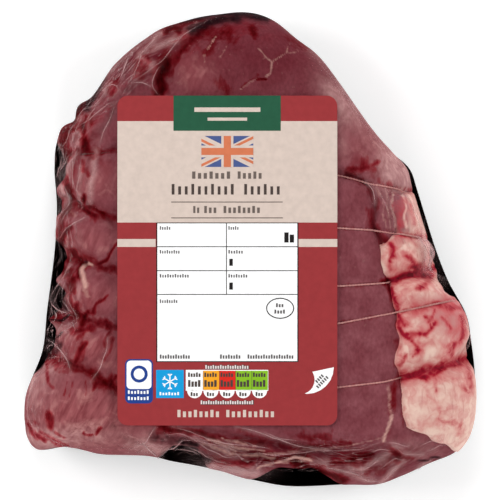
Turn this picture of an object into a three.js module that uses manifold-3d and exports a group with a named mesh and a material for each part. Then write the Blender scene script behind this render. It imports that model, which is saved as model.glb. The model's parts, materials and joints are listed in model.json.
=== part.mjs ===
// A raw beef roasting joint, tied with butcher's twine and vacuum-sealed between a black
// base film and a clear top film, with a large paper label stuck on the clear film.
//
// Millimetres. The pack lies on its base film: +Z points up out of the label, +Y towards
// the joint's narrow end, and +X towards the slab of basting fat on the joint's side.
// The origin is on the floor, under the middle of the pack.
//
// The joint is one solid out to the clear film that clings to it: its lobes, the grooves
// that the twine pulls into it, the fat slab, the muscle seam and the film's folds are
// relief on that skin. The base film is a thin bowl round its underside.

import * as THREE from 'three';
import { mergeVertices } from 'three/addons/utils/BufferGeometryUtils.js';
import Module from 'manifold-3d';

// ---- Heights

const CROWN_HEIGHT = 60;          // floor to the top of the clear film, under the label
const RIM_HEIGHT = 20;            // the widest level, where the two films are sealed
const FILM_THICKNESS = 1;         // the base film, with its stiff formed folds
const FILM_GAP = 0.3;             // between pieces that touch

// The crown bends away from the label's middle with these two radii.
const CROWN_RADIUS_ACROSS = 650;
const CROWN_RADIUS_ALONG = 1100;

// ---- Label

const LABEL = { x: -10.3, y: -4.8, width: 100, length: 150, corner: 4.8, thickness: 0.4 };
const LABEL_STEP = 9;             // one facet of the label
const LABEL_CLEARANCE = 1;        // nothing rises this near the label,
const LABEL_MARGIN = 5;           // and swells reach their height over this margin

// ---- The pack's outline at the rim, seen from above, counter-clockwise from the top

const OUTLINE = [
  [-3, 108.5], [-16, 108], [-27, 106], [-44.5, 99], [-61.5, 86], [-73, 70],
  [-79.5, 63], [-88.5, 50.5], [-90, 38], [-89, 21], [-90, 0], [-93.5, -28],
  [-95.5, -46], [-103.5, -69], [-101.5, -86], [-97, -91.5], [-84, -90.5],
  [-68, -94], [-54, -94.5], [-41.5, -96.5], [-23.5, -99.5], [0, -105.5],
  [22.5, -108.5], [47, -107.5], [60, -107], [70, -103.5], [82, -98],
  [94.5, -92.5], [101, -84], [103.5, -67], [101, -41], [99, -30], [90.5, -14],
  [85, 0], [76.5, 27], [73, 37.5], [65.5, 45], [57, 54.5], [38, 81],
  [30.5, 90], [22, 96.5], [11, 104.5],
];
const MIDDLE = { x: -5, y: -9 };  // every ray from here crosses the outline once

// ---- How the side falls from the crown to the rim, by direction (degrees from +X)
// width is the reach of the fall, and squareness is 2 for a round side and more for a
// side that stays high and then drops.

const SIDES = [
  { angle: 0, width: 30, squareness: 2.1 },
  { angle: 25, width: 26, squareness: 2.3 },
  { angle: 45, width: 18, squareness: 2.8 },
  { angle: 60, width: 13, squareness: 3.4 },
  { angle: 78, width: 28, squareness: 2.5 },
  { angle: 100, width: 34, squareness: 2.2 },
  { angle: 122, width: 24, squareness: 2.5 },
  { angle: 137, width: 18, squareness: 3 },
  { angle: 160, width: 24, squareness: 2.4 },
  { angle: 185, width: 26, squareness: 2.2 },
  { angle: 215, width: 34, squareness: 2.3 },
  { angle: 237, width: 22, squareness: 2.8 },
  { angle: 265, width: 24, squareness: 2.6 },
  { angle: 300, width: 26, squareness: 2.5 },
  { angle: 330, width: 33, squareness: 2.2 },
];
const SINK_FADE = 0.3;            // share of the side's height over which grooves fade to the rim
const RISE_FADE = 0.6;            // and swells, so that none bulges out past the rim
const TUCK_REACH = 26;            // how far the underside draws in from rim to base
const TUCK_SQUARENESS = 2.4;
const TUCK_GROOVES = { meat: 0.55, film: 0.45 };  // depth there, as a share of the grooves on top

// ---- Twine: five loops pull grooves into the meat. Each route runs across the pack from
// left to right, and each groove is deep in the soft lobes on the left, a mere line
// across the taut lean, and as deep in the fat as the depths say.

const TWINE = [
  {
    route: [[-90, 41], [-80, 43.5], [-61, 44.5], [40, 34], [54, 30.5], [78, 27]],
    lobe: 2.5,
    fat: 2,
  },
  {
    route: [[-92, 27], [-86, 23], [-61, 13.5], [40, 10], [57, 9], [86, 5]],
    lobe: 5,
    fat: 1.2,
  },
  {
    route: [[-92, -3], [-75, -5.5], [-61, -9], [40, -16.5], [62, -15], [90, -6]],
    lobe: 4.5,
    fat: 4.5,
  },
  {
    route: [[-95, -28], [-73, -33], [-61, -35.5], [40, -33.5], [66, -28.5], [99, -21.5]],
    lobe: 5,
    fat: 1.6,
  },
  {
    route: [[-98, -49], [-84.5, -51.5], [-61, -63], [40, -62.5], [61.5, -60], [104, -48.5]],
    lobe: 5.5,
    fat: 4.5,
  },
];
const LOBE_EDGE = -50;            // left of this the twine sinks into soft lobes,
const LOBE_FADE = 12;             // reaching its full depth over this distance,
const FAT_FADE = 4;               // and this one at the fat slab's edge
const LEAN_GROOVE = 0.7;          // depth across the taut lean
const DEEP_GROOVE_SPREAD = 4.6;   // half-widths of a deep and of a shallow groove
const LEAN_GROOVE_SPREAD = 2.6;

// ---- Fat slab: laid on the lean along this edge, and running out past the rim

const FAT_SLAB = [
  [72, 60], [64, 26], [67, 9], [59, 1], [60, -11], [63.5, -14], [65.5, -29],
  [68, -40], [65.5, -51], [67.5, -60], [69, -70], [71, -82], [80, -85], [95, -93],
  [130, -93], [130, 60],
];
const FAT_STEP = 3;               // the slab's edge stands this high above the lean
const FAT_STEP_SPREAD = 2.2;

// ---- Furrows and folds, each a route with its depth below (or height above) the skin

const CREASES = [
  // The seam between two muscles, right of the label.
  { route: [[38, 35], [47, 33.5], [54, 30], [57.5, 22], [56, 12], [60, 3]], rise: -2.6, spread: 2.4 },
  // The film's long fold across the joint's upper left shoulder.
  { route: [[-17, 107], [-28.5, 97], [-41.5, 85], [-53, 76], [-64, 68]], rise: 2, spread: 2 },
  { route: [[-41.5, 82], [-45, 75], [-42, 70]], rise: 1.5, spread: 1.8 },
  { route: [[-53, 76], [-66, 60], [-82, 42]], rise: 1.4, spread: 2 },
  { route: [[-61, 66], [-74, 52], [-86, 36]], rise: 1.4, spread: 2 },
  // The fan of folds under the label's lower edge.
  { route: [[-60, -82], [-42, -87], [-20, -92], [2, -98]], rise: 2, spread: 2.2 },
  { route: [[-38, -81], [-14, -86], [10, -92], [34, -97], [60, -103]], rise: 1.8, spread: 2.2 },
  { route: [[-6, -82], [20, -86], [46, -89], [70, -88]], rise: 1.5, spread: 2.2 },
  { route: [[-30, -88], [0, -93], [24, -98], [48, -104]], rise: -2.2, spread: 2 },
  { route: [[-20, -83], [8, -88], [40, -93], [66, -95]], rise: -2, spread: 2 },
  { route: [[-62, -81], [-52, -88], [-46, -95]], rise: -2.2, spread: 2.4 },
];

// ---- Broad swells and hollows: middle, half-lengths along the turned axes, and rise

const SWELLS = [
  { x: -80, y: -74, reach: [20, 15], turn: 15, rise: 3.2 },   // the joint's heel
  { x: -76, y: -44, reach: [15, 9], turn: -12, rise: 2.2 },   // lobes between the loops
  { x: -74, y: -20, reach: [13, 9], turn: -5, rise: 2 },
  { x: -74, y: 5, reach: [13, 10], turn: -5, rise: 1.6 },
  { x: -74, y: 33, reach: [12, 8], turn: 0, rise: 1.4 },
  { x: 6, y: 88, reach: [26, 12], turn: -12, rise: 1.6 },     // the narrow end
  { x: 84, y: -72, reach: [12, 13], turn: 0, rise: 1.8 },     // lobes of the fat slab
  { x: 80, y: -38, reach: [10, 12], turn: 0, rise: 1.4 },
  { x: 76, y: -19, reach: [9, 6], turn: 15, rise: 1.6 },
  { x: -37, y: 78, reach: [5, 9], turn: 20, rise: -4 },       // pocket beside the film's fold
  { x: -19, y: 103, reach: [9, 3], turn: 15, rise: -2.5 },
  { x: -86, y: -33, reach: [4, 5], turn: 0, rise: -3 },       // where film spans the hollows
  { x: 83, y: 10, reach: [3, 14], turn: 18, rise: -2.5 },
  { x: 22, y: -104, reach: [18, 3], turn: -5, rise: -3 },
  { x: -29, y: -95, reach: [10, 4], turn: -10, rise: -3.5 },
];

// ---- Facets

const DIRECTIONS = 144;           // facets round the pack
const CROWN_ROWS = 9;             // from the middle of the crown out to the side
const FALL_ROWS = 17;             // down the side to the rim
const TUCK_ROWS = 4;              // from the rim in under to the flat base

// ---- Helpers

const smooth = (t) => {
  const held = THREE.MathUtils.clamp(t, 0, 1);
  return held * held * (3 - 2 * held);
};

function distanceToRoute(route, x, y) {
  const point = new THREE.Vector3(x, y, 0);
  const nearest = new THREE.Vector3();
  let distance = Infinity;
  for (let i = 0; i + 1 < route.length; i += 1) {
    const stretch = new THREE.Line3(
      new THREE.Vector3(...route[i], 0),
      new THREE.Vector3(...route[i + 1], 0),
    );
    stretch.closestPointToPoint(point, true, nearest);
    distance = Math.min(distance, nearest.distanceTo(point));
  }
  return distance;
}

// Distance to a closed outline, positive inside it and negative outside.
function depthInside(outline, x, y) {
  const closed = [...outline, outline[0]];
  let inside = false;
  for (let i = 0; i + 1 < closed.length; i += 1) {
    const [ax, ay] = closed[i];
    const [bx, by] = closed[i + 1];
    if ((ay > y) !== (by > y) && x < ax + ((y - ay) / (by - ay)) * (bx - ax)) inside = !inside;
  }
  const distance = distanceToRoute(closed, x, y);
  return inside ? distance : -distance;
}

const bell = (distance, spread) => Math.exp(-((distance / spread) ** 2));

// ---- The pack's outline as distance and outward normal, for any direction

const outlineCurve = new THREE.CatmullRomCurve3(
  OUTLINE.map(([x, y]) => new THREE.Vector3(x, y, 0)),
  true,
  'centripetal',
);
const POINTS_PER_STRETCH = 12;
const outlinePoints = outlineCurve
  .getPoints(OUTLINE.length * POINTS_PER_STRETCH)
  .map((point) => new THREE.Vector2(point.x - MIDDLE.x, point.y - MIDDLE.y));

function reachTowards(angle) {
  const ray = new THREE.Vector2(Math.cos(angle), Math.sin(angle));
  for (let i = 0; i + 1 < outlinePoints.length; i += 1) {
    const before = outlinePoints[i];
    const after = outlinePoints[i + 1];
    const sideBefore = ray.cross(before);
    const sideAfter = ray.cross(after);
    const crossing = before.clone().lerp(after, sideBefore / (sideBefore - sideAfter));
    if (sideBefore <= 0 && sideAfter > 0 && crossing.dot(ray) > 0) return crossing.dot(ray);
  }
  throw new Error(`the outline has no crossing towards ${angle}`);
}

// Side settings towards an angle, blended between the two named directions it lies between.
function sideTowards(angle) {
  const degrees = THREE.MathUtils.euclideanModulo(THREE.MathUtils.radToDeg(angle), 360);
  const following = SIDES.findIndex((side) => side.angle > degrees);
  const next = following < 0 ? 0 : following;
  const last = SIDES[(next + SIDES.length - 1) % SIDES.length];
  const span = THREE.MathUtils.euclideanModulo(SIDES[next].angle - last.angle, 360);
  const blend = smooth(THREE.MathUtils.euclideanModulo(degrees - last.angle, 360) / span);
  return {
    width: THREE.MathUtils.lerp(last.width, SIDES[next].width, blend),
    squareness: THREE.MathUtils.lerp(last.squareness, SIDES[next].squareness, blend),
  };
}

const directions = Array.from({ length: DIRECTIONS }, (_, i) => {
  const angle = (i / DIRECTIONS) * 2 * Math.PI;
  const nudge = 0.01;
  const reach = reachTowards(angle);
  const turn = (reachTowards(angle + nudge) - reachTowards(angle - nudge)) / (2 * nudge);
  const normal = new THREE.Vector2(reach, -turn).normalize();
  normal.rotateAround(new THREE.Vector2(0, 0), angle);
  return { angle, reach, normal, ...sideTowards(angle) };
});

// ---- The clear film's skin

function crownHeight(x, y) {
  const across = (x - LABEL.x) ** 2 / (2 * CROWN_RADIUS_ACROSS);
  const along = (y - LABEL.y) ** 2 / (2 * CROWN_RADIUS_ALONG);
  return CROWN_HEIGHT - across - along;
}

// 0 under the label and 1 well clear of it.
function clearOfLabel(x, y) {
  const beyondX = Math.abs(x - LABEL.x) - LABEL.width / 2;
  const beyondY = Math.abs(y - LABEL.y) - LABEL.length / 2;
  const beyond = Math.hypot(Math.max(beyondX, 0), Math.max(beyondY, 0));
  return smooth((beyond - LABEL_CLEARANCE) / LABEL_MARGIN);
}

function twineGroove(loop, fatDepth, x, y) {
  const inLobes = smooth((LOBE_EDGE - x) / LOBE_FADE);
  const inFat = smooth(fatDepth / FAT_FADE + 0.5);
  const inSoft = Math.max(inLobes, inFat);
  const deep = Math.max(inLobes * loop.lobe, inFat * loop.fat);
  const spread = THREE.MathUtils.lerp(LEAN_GROOVE_SPREAD, DEEP_GROOVE_SPREAD, inSoft);
  return -(LEAN_GROOVE + deep) * bell(distanceToRoute(loop.route, x, y), spread);
}

function swellRise({ x: middleX, y: middleY, reach, turn, rise }, x, y) {
  const offset = new THREE.Vector2(x - middleX, y - middleY);
  offset.rotateAround(new THREE.Vector2(0, 0), -THREE.MathUtils.degToRad(turn));
  return rise * bell(Math.hypot(offset.x / reach[0], offset.y / reach[1]), 1);
}

function twineGrooves(x, y) {
  const fatDepth = depthInside(FAT_SLAB, x, y);
  return TWINE.reduce((sum, loop) => sum + twineGroove(loop, fatDepth, x, y), 0);
}

// How far the skin stands out from the plain rounded form at (x, y), and how far it sinks
// below it. upward is 1 on the crown and 0 at the rim, where the relief dies out.
function relief(x, y, upward) {
  let sink = twineGrooves(x, y);
  let rise = FAT_STEP * smooth(depthInside(FAT_SLAB, x, y) / FAT_STEP_SPREAD);
  const heights = [
    ...CREASES.map((crease) => crease.rise * bell(distanceToRoute(crease.route, x, y), crease.spread)),
    ...SWELLS.map((swell) => swellRise(swell, x, y)),
  ];
  for (const height of heights) {
    if (height > 0) rise += height;
    else sink += height;
  }
  return sink * smooth(upward / SINK_FADE) + rise * clearOfLabel(x, y) * smooth(upward / RISE_FADE);
}

// A point of the skin: a direction and a row, counted from the crown's middle outwards.
function topSkin(direction, row) {
  const { angle, reach, normal, width, squareness } = direction;
  const flatReach = reach - width;
  if (row <= CROWN_ROWS) {
    const distance = flatReach * Math.sqrt(row / CROWN_ROWS);
    const x = MIDDLE.x + distance * Math.cos(angle);
    const y = MIDDLE.y + distance * Math.sin(angle);
    return new THREE.Vector3(x, y, crownHeight(x, y) + relief(x, y, 1));
  }
  const fall = ((row - CROWN_ROWS) / FALL_ROWS) * (Math.PI / 2);
  const outward = Math.sin(fall) ** (2 / squareness);
  const upward = Math.max(Math.cos(fall), 0) ** (2 / squareness);
  const distance = flatReach + width * outward;
  const x = MIDDLE.x + distance * Math.cos(angle);
  const y = MIDDLE.y + distance * Math.sin(angle);
  const drop = crownHeight(x, y) - RIM_HEIGHT;
  // The relief stands square to the side.
  const lean = new THREE.Vector2(outward ** (squareness - 1) / width, upward ** (squareness - 1) / drop);
  lean.normalize();
  const height = relief(x, y, upward);
  return new THREE.Vector3(
    x + normal.x * lean.x * height,
    y + normal.y * lean.x * height,
    RIM_HEIGHT + drop * upward + lean.y * height,
  );
}

// The underside, from the rim (row 0) in to the flat base, drawn in by an inset. The twine
// pulls its grooves into the meat between rim and base, and the base film half spans them.
function underside(direction, row, inset, grooveShare) {
  const { angle, reach } = direction;
  const fall = (row / TUCK_ROWS) * (Math.PI / 2);
  const outward = Math.max(Math.cos(fall), 0) ** (2 / TUCK_SQUARENESS);
  const downward = Math.sin(fall) ** (2 / TUCK_SQUARENESS);
  const outside = reach - TUCK_REACH + TUCK_REACH * outward;
  const groove = twineGrooves(
    MIDDLE.x + outside * Math.cos(angle),
    MIDDLE.y + outside * Math.sin(angle),
  );
  const distance = outside - inset * outward + groove * grooveShare * Math.sin(2 * fall);
  return new THREE.Vector3(
    MIDDLE.x + distance * Math.cos(angle),
    MIDDLE.y + distance * Math.sin(angle),
    RIM_HEIGHT - (RIM_HEIGHT - inset) * downward,
  );
}

// ---- Meshes

// A closed surface of rows, from a point on top to a point below, laid over a sphere's net.
// rowPoint(direction, row) gives each vertex, and the first and the last row are points.
// turned runs the net clockwise, so that rows that climb split their facets in the same way
// as rows that go down, and two nested surfaces stay parallel.
function closedSurface(rows, rowPoint, turned = false) {
  const geometry = new THREE.SphereGeometry(1, DIRECTIONS, rows - 1);
  const position = geometry.attributes.position;
  for (let index = 0; index < position.count; index += 1) {
    const row = Math.floor(index / (DIRECTIONS + 1));
    const column = index % (DIRECTIONS + 1) % DIRECTIONS;
    const direction = directions[turned ? (DIRECTIONS - column) % DIRECTIONS : column];
    const point = rowPoint(direction, row);
    position.setXYZ(index, point.x, point.y, point.z);
  }
  if (turned) geometry.index.array.reverse();
  geometry.deleteAttribute('normal');
  geometry.deleteAttribute('uv');
  const closed = mergeVertices(geometry);
  closed.computeVertexNormals();
  return closed;
}

function material(color, roughness) {
  return new THREE.MeshStandardMaterial({ color, roughness, metalness: 0 });
}

function namedMesh(name, geometry, finish) {
  const mesh = new THREE.Mesh(geometry, finish);
  mesh.name = name;
  return mesh;
}

// The joint in its clear film: crown, side, rim, then the underside that the base film wraps.
function sealedJoint() {
  const sideRows = CROWN_ROWS + FALL_ROWS;
  const inset = FILM_THICKNESS + FILM_GAP;
  const rows = sideRows + 1 + TUCK_ROWS + 1 + 1;
  return closedSurface(rows, (direction, row) => {
    if (row === rows - 1) return new THREE.Vector3(MIDDLE.x, MIDDLE.y, inset);
    if (row > sideRows) return underside(direction, row - sideRows - 1, inset, TUCK_GROOVES.meat);
    const point = topSkin(direction, row);
    // The sealed rim lies on the base film's edge, a gap above it.
    point.z = Math.max(point.z, RIM_HEIGHT + FILM_GAP);
    return point;
  });
}

// The black base film: a thin bowl from the middle of its inside up to the rim, and down
// its outside to the flat base.
function blackBacking() {
  const rows = 1 + (TUCK_ROWS + 1) * 2 + 1;
  return closedSurface(rows, (direction, row) => {
    if (row === 0) return new THREE.Vector3(MIDDLE.x, MIDDLE.y, FILM_THICKNESS);
    if (row === rows - 1) return new THREE.Vector3(MIDDLE.x, MIDDLE.y, 0);
    const inside = row <= TUCK_ROWS + 1;
    const tuckRow = inside ? TUCK_ROWS + 1 - row : row - TUCK_ROWS - 2;
    return underside(direction, tuckRow, inside ? FILM_THICKNESS : 0, TUCK_GROOVES.film);
  }, true);
}

const wasm = await Module();
wasm.setup();

function solidOf(geometry) {
  const bare = geometry.clone();
  bare.deleteAttribute('normal');
  bare.deleteAttribute('uv');
  const merged = mergeVertices(bare);
  return new wasm.Manifold(new wasm.Mesh({
    numProp: 3,
    vertProperties: new Float32Array(merged.attributes.position.array),
    triVerts: new Uint32Array(merged.index.array),
  }));
}

function geometryOf(solid) {
  const { vertProperties, triVerts } = solid.getMesh();
  const geometry = new THREE.BufferGeometry();
  geometry.setAttribute('position', new THREE.BufferAttribute(vertProperties, 3));
  geometry.setIndex(new THREE.BufferAttribute(triVerts, 1));
  geometry.computeVertexNormals();
  return geometry;
}

// The label: a sheet bent over the crown, trimmed to a rectangle with round corners.
function paperLabel() {
  const spare = 4;
  const width = LABEL.width + spare;
  const length = LABEL.length + spare;
  const sheet = new THREE.BoxGeometry(
    width,
    length,
    LABEL.thickness,
    Math.round(width / LABEL_STEP),
    Math.round(length / LABEL_STEP),
    1,
  );
  const position = sheet.attributes.position;
  for (let index = 0; index < position.count; index += 1) {
    const x = position.getX(index) + LABEL.x;
    const y = position.getY(index) + LABEL.y;
    const lift = FILM_GAP + LABEL.thickness / 2;
    position.setXYZ(index, x, y, position.getZ(index) + crownHeight(x, y) + lift);
  }

  const halfWidth = LABEL.width / 2;
  const halfLength = LABEL.length / 2;
  const cornerX = halfWidth - LABEL.corner;
  const cornerY = halfLength - LABEL.corner;
  const quarter = Math.PI / 2;
  const shape = new THREE.Shape();
  shape.absarc(cornerX, cornerY, LABEL.corner, 0, quarter);
  shape.absarc(-cornerX, cornerY, LABEL.corner, quarter, 2 * quarter);
  shape.absarc(-cornerX, -cornerY, LABEL.corner, 2 * quarter, 3 * quarter);
  shape.absarc(cornerX, -cornerY, LABEL.corner, 3 * quarter, 4 * quarter);
  const trim = new THREE.ExtrudeGeometry(shape, {
    depth: CROWN_HEIGHT,
    bevelEnabled: false,
    curveSegments: 6,
  });
  trim.translate(LABEL.x, LABEL.y, RIM_HEIGHT);
  return geometryOf(solidOf(sheet).intersect(solidOf(trim)));
}

const part = new THREE.Group();
part.add(namedMesh('sealed_joint', sealedJoint(), material('#7b3f4b', 0.35)));
part.add(namedMesh('black_backing', blackBacking(), material('#120a0e', 0.35)));
part.add(namedMesh('label', paperLabel(), material('#a23638', 0.6)));

export default part;
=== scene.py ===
import itertools
import json
import math
from types import SimpleNamespace

import bpy
import numpy as np
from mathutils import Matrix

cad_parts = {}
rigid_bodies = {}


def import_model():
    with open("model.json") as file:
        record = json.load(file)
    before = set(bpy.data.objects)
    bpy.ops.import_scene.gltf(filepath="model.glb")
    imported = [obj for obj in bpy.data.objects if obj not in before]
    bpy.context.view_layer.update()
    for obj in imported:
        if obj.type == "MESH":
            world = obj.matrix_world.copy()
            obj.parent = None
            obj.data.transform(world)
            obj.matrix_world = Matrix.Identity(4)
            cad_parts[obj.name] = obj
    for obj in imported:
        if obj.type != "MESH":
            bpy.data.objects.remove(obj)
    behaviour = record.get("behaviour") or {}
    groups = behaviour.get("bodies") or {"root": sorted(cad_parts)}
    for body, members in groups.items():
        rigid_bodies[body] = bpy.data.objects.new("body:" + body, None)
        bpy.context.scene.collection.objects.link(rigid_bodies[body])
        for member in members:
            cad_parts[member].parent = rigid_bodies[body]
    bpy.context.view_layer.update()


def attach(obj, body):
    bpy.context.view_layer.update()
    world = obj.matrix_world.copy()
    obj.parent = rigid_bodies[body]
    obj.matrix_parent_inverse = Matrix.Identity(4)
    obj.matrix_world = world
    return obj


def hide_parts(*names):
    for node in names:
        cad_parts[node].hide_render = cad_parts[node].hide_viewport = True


# Looks for a raw beef roasting joint, tied with twine and vacuum-sealed between a clear top
# film and a black base film, with a printed paper label on the clear film.
#
# Sizes are millimetres, in the frame of the CAD part: +Z up out of the label, +Y towards the
# joint's narrow end, +X towards the slab of basting fat. MM turns them to metres at the end.

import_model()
bpy.context.scene.view_settings.view_transform = "Standard"

MM = 0.001
FULL_TURN = 2 * math.pi


def read_rows(text):
    """Rows of numbers, split by semicolons."""
    return [[float(word) for word in row.split()] for row in text.split(";")]


def read_route(text):
    """The points of a line in plan, each as x,y."""
    return [tuple(map(float, word.split(","))) for word in text.split()]


def read_strokes(*groups):
    """Strokes, split by semicolons: each is written as its settings and then its route, and
    comes back as its route and then its settings."""
    strokes = []
    for stroke in ";".join(groups).split(";"):
        settings = [float(word) for word in stroke.split() if "," not in word]
        route = read_route(" ".join(word for word in stroke.split() if "," in word))
        strokes.append((route, *settings))
    return strokes


# ---- The pack's form, as its solids have it

CROWN_HEIGHT = 60          # floor to the top of the clear film, under the label
RIM_HEIGHT = 20            # the widest level, where the two films are sealed
BASE_INSET = 1.3           # the joint's underside inside the black base film's outside
FILM_GAP = 0.3             # between pieces that touch
CROWN_RADIUS_ACROSS = 650
CROWN_RADIUS_ALONG = 1100

LABEL = SimpleNamespace(x=-10.3, y=-4.8, width=100, length=150, corner=4.8, thickness=0.4)
LABEL_CLEARANCE = 1
LABEL_MARGIN = 5

OUTLINE = read_route("""
    -3,108.5 -16,108 -27,106 -44.5,99 -61.5,86 -73,70 -79.5,63 -88.5,50.5 -90,38 -89,21 -90,0 -93.5,-28
    -95.5,-46 -103.5,-69 -101.5,-86 -97,-91.5 -84,-90.5 -68,-94 -54,-94.5 -41.5,-96.5 -23.5,-99.5
    0,-105.5 22.5,-108.5 47,-107.5 60,-107 70,-103.5 82,-98 94.5,-92.5 101,-84 103.5,-67 101,-41 99,-30
    90.5,-14 85,0 76.5,27 73,37.5 65.5,45 57,54.5 38,81 30.5,90 22,96.5 11,104.5""")
MIDDLE = (-5, -9)          # every ray from here crosses the outline once
POINTS_PER_STRETCH = 12

# Direction in degrees from +X, reach of the side's fall, and squareness of its section.
SIDES = read_rows("""
    0 30 2.1; 25 26 2.3; 45 18 2.8; 60 13 3.4; 78 28 2.5; 100 34 2.2; 122 24 2.5; 137 18 3; 160 24 2.4;
    185 26 2.2; 215 34 2.3; 237 22 2.8; 265 24 2.6; 300 26 2.5; 330 33 2.2""")
SINK_FADE = 0.3
RISE_FADE = 0.6
TUCK_REACH = 26
TUCK_SQUARENESS = 2.4
TUCK_GROOVE_MEAT = 0.55
TUCK_GROOVE_FILM = 0.45

# Each loop of twine: its groove's depth in lobes and in fat, and its route across the pack.
TWINE = read_strokes("""
    2.5 2 -90,41 -80,43.5 -61,44.5 40,34 54,30.5 78,27; 5 1.2 -92,27 -86,23 -61,13.5 40,10 57,9 86,5;
    4.5 4.5 -92,-3 -75,-5.5 -61,-9 40,-16.5 62,-15 90,-6;
    5 1.6 -95,-28 -73,-33 -61,-35.5 40,-33.5 66,-28.5 99,-21.5;
    5.5 4.5 -98,-49 -84.5,-51.5 -61,-63 40,-62.5 61.5,-60 104,-48.5""")
LOBE_EDGE = -50
LOBE_FADE = 12
FAT_FADE = 4
LEAN_GROOVE = 0.7
DEEP_GROOVE_SPREAD = 4.6
LEAN_GROOVE_SPREAD = 2.6

FAT_SLAB = read_route("""
    66,28 64,26 67,9 59,1 60,-11 63.5,-14 65.5,-29 68,-40 65.5,-51 67.5,-60 69,-70 71,-82 80,-85 95,-93
    130,-93 130,28""")
FAT_STEP = 3
FAT_STEP_SPREAD = 2.2

# Creases in the skin: rise above it (or depth below it), half-width, and route.
CREASES = read_strokes("""
    -2.6 2.4 38,35 47,33.5 54,30 57.5,22 56,12 60,3; 2 2 -17,107 -28.5,97 -41.5,85 -53,76 -64,68;
    1.5 1.8 -41.5,82 -45,75 -42,70; 1.4 2 -53,76 -66,60 -82,42; 1.4 2 -61,66 -74,52 -86,36;
    2 2.2 -60,-82 -42,-87 -20,-92 2,-98; 1.8 2.2 -38,-81 -14,-86 10,-92 34,-97 60,-103;
    1.5 2.2 -6,-82 20,-86 46,-89 70,-88; -2.2 2 -30,-88 0,-93 24,-98 48,-104;
    -2 2 -20,-83 8,-88 40,-93 66,-95; -2.2 2.4 -62,-81 -52,-88 -46,-95""")

# Swells and dips: middle, half-lengths along the turned axes, turn in degrees, and rise.
SWELLS = read_rows("""
    -80 -74 20 15 15 3.2; -76 -44 15 9 -12 2.2; -74 -20 13 9 -5 2; -74 5 13 10 -5 1.6; -74 33 12 8 0 1.4;
    6 88 26 12 -12 1.6; 84 -72 12 13 0 1.8; 80 -38 10 12 0 1.4; 76 -19 9 6 15 1.6; -37 78 5 9 20 -4;
    -19 103 9 3 15 -2.5; -86 -33 4 5 0 -3; 83 10 3 14 18 -2.5; 22 -104 18 3 -5 -3; -29 -95 10 4 -10 -3.5""")

# ---- What the film shows of the joint: finer than the solids

# Where the meat stands back from the rim and the black base film shows through the clear
# one: place on the rim, half-length along it, and how far the meat stands back.
HOLLOWS = read_rows("""
    80 16 24 1.4; 86 -4 5 1.6; 91.2 -14.4 6 3.5; 99.8 -47 6 2.3; 21 -108 15 8.5; -31 -98 8.5 8.3;
    -89.5 38.5 8 5.2; -89 20 3.5 2.5; -91 -3.5 6.5 5.2; -91.5 -14 5 2.4; -92 -23 6.5 6.8; -93 -40 7 5;
    -97 -50 5 2.5""")
# Where the pack's outline swells or draws in a little: direction, half-width, and by how much.
RIM_SWELLS = read_rows("""
    134.2 2.6 1.9; 137.8 1.6 -1.4; 141.4 2.2 1.2; 85.5 5.5 1.1; 108 3.5 0.6; 218.5 3 0.8; 245 4 -1;
    265.5 4 -0.6; 281.5 5 0.5; 300.5 4 0.5""")
HOLLOW_REACH = 1.5         # where a hollow ends, in half-lengths
HOLLOW_FADE = 0.45         # the share of the side's height over which a hollow closes

# How far lines stray at random: reach, size of the waves, and seed.
SLAB_EDGE_STRAY = (1.1, 5, 31)
FURROW_STRAY = (0.8, 4, 25)
BLOOD_STRAY = (1, 5, 27)
DENT_STRAY = (0.9, 5, 27)
LOBE_STRAY = (1.6, 8, 21)  # of the creases between the lobes from the twine
LOBE_JITTER = (1, 3, 23)

# Furrows in the meat with blood in them: depth, half-width, stain from 0 to 1, and route.
FURROWS = read_strokes("""
    1.4 1.2 0.4 44,34.2 49,33 54,30 57.5,22 56,12 60,3; 0.5 1.4 0.6 45,36.7 50,37 58,40;
    2.2 2.6 1 -38.5,85 -41,79 -40,71; 1.5 3 0.55 -30,96 -20,99 -10,98; 0.8 1.6 0.9 -76.5,57 -74.5,46;
    1.6 1.4 0.9 -85,32 -83.5,26 -82,20; 0.9 0.9 0.8 -75.5,25 -74.5,17.5; 1.6 1.3 0.85 -81,0 -80,-3 -77,-6;
    1 1.3 0.7 -80,-13 -83,-20 -80,-28; 0.4 0.7 0.7 -76.5,-29.5 -72.5,-28.5 -69.5,-24.5 -64.5,-20;
    0.4 0.6 0.8 -68.5,-6.5 -64.5,-2.5 -60.5,3; 0.4 1 0.5 -79,-53 -76.5,-48 -76,-43;
    0.4 0.7 0.5 -66,-43 -63,-37; 0.3 0.8 0.5 -62,-41 -66,-50; 0.4 1 0.8 -67,-59.5 -64,-62 -61,-57.5;
    0.3 0.7 0.6 -93,-52 -92.5,-57.5 -90,-63; 0.5 1.4 0.8 -91.5,-74 -91.5,-80;
    0.2 0.5 0.5 -105,-77.5 -96,-79.5; 0.3 0.5 0.7 -75.5,-83 -72,-84.5; 0.3 0.5 0.7 -70.5,-84.5 -67.5,-81;
    0.2 0.5 0.5 -83.5,-60 -85,-66; 0.2 0.7 0.4 -89,-83 -83.5,-85; 0.8 1.1 0.7 -102,-80 -99,-85 -94,-87.5;
    1.2 1.1 0.6 -96,-84 -91,-86.5 -84,-89; 0.5 0.6 0.45 3.5,80 -4,73.5; 0.4 0.35 0.9 3,77.5 7.5,77.7;
    0.5 2.4 0.42 -11.5,77 -10,71; 1.4 1.4 0.4 72.5,-0.5 74,-6 77,-10.5""")

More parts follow.
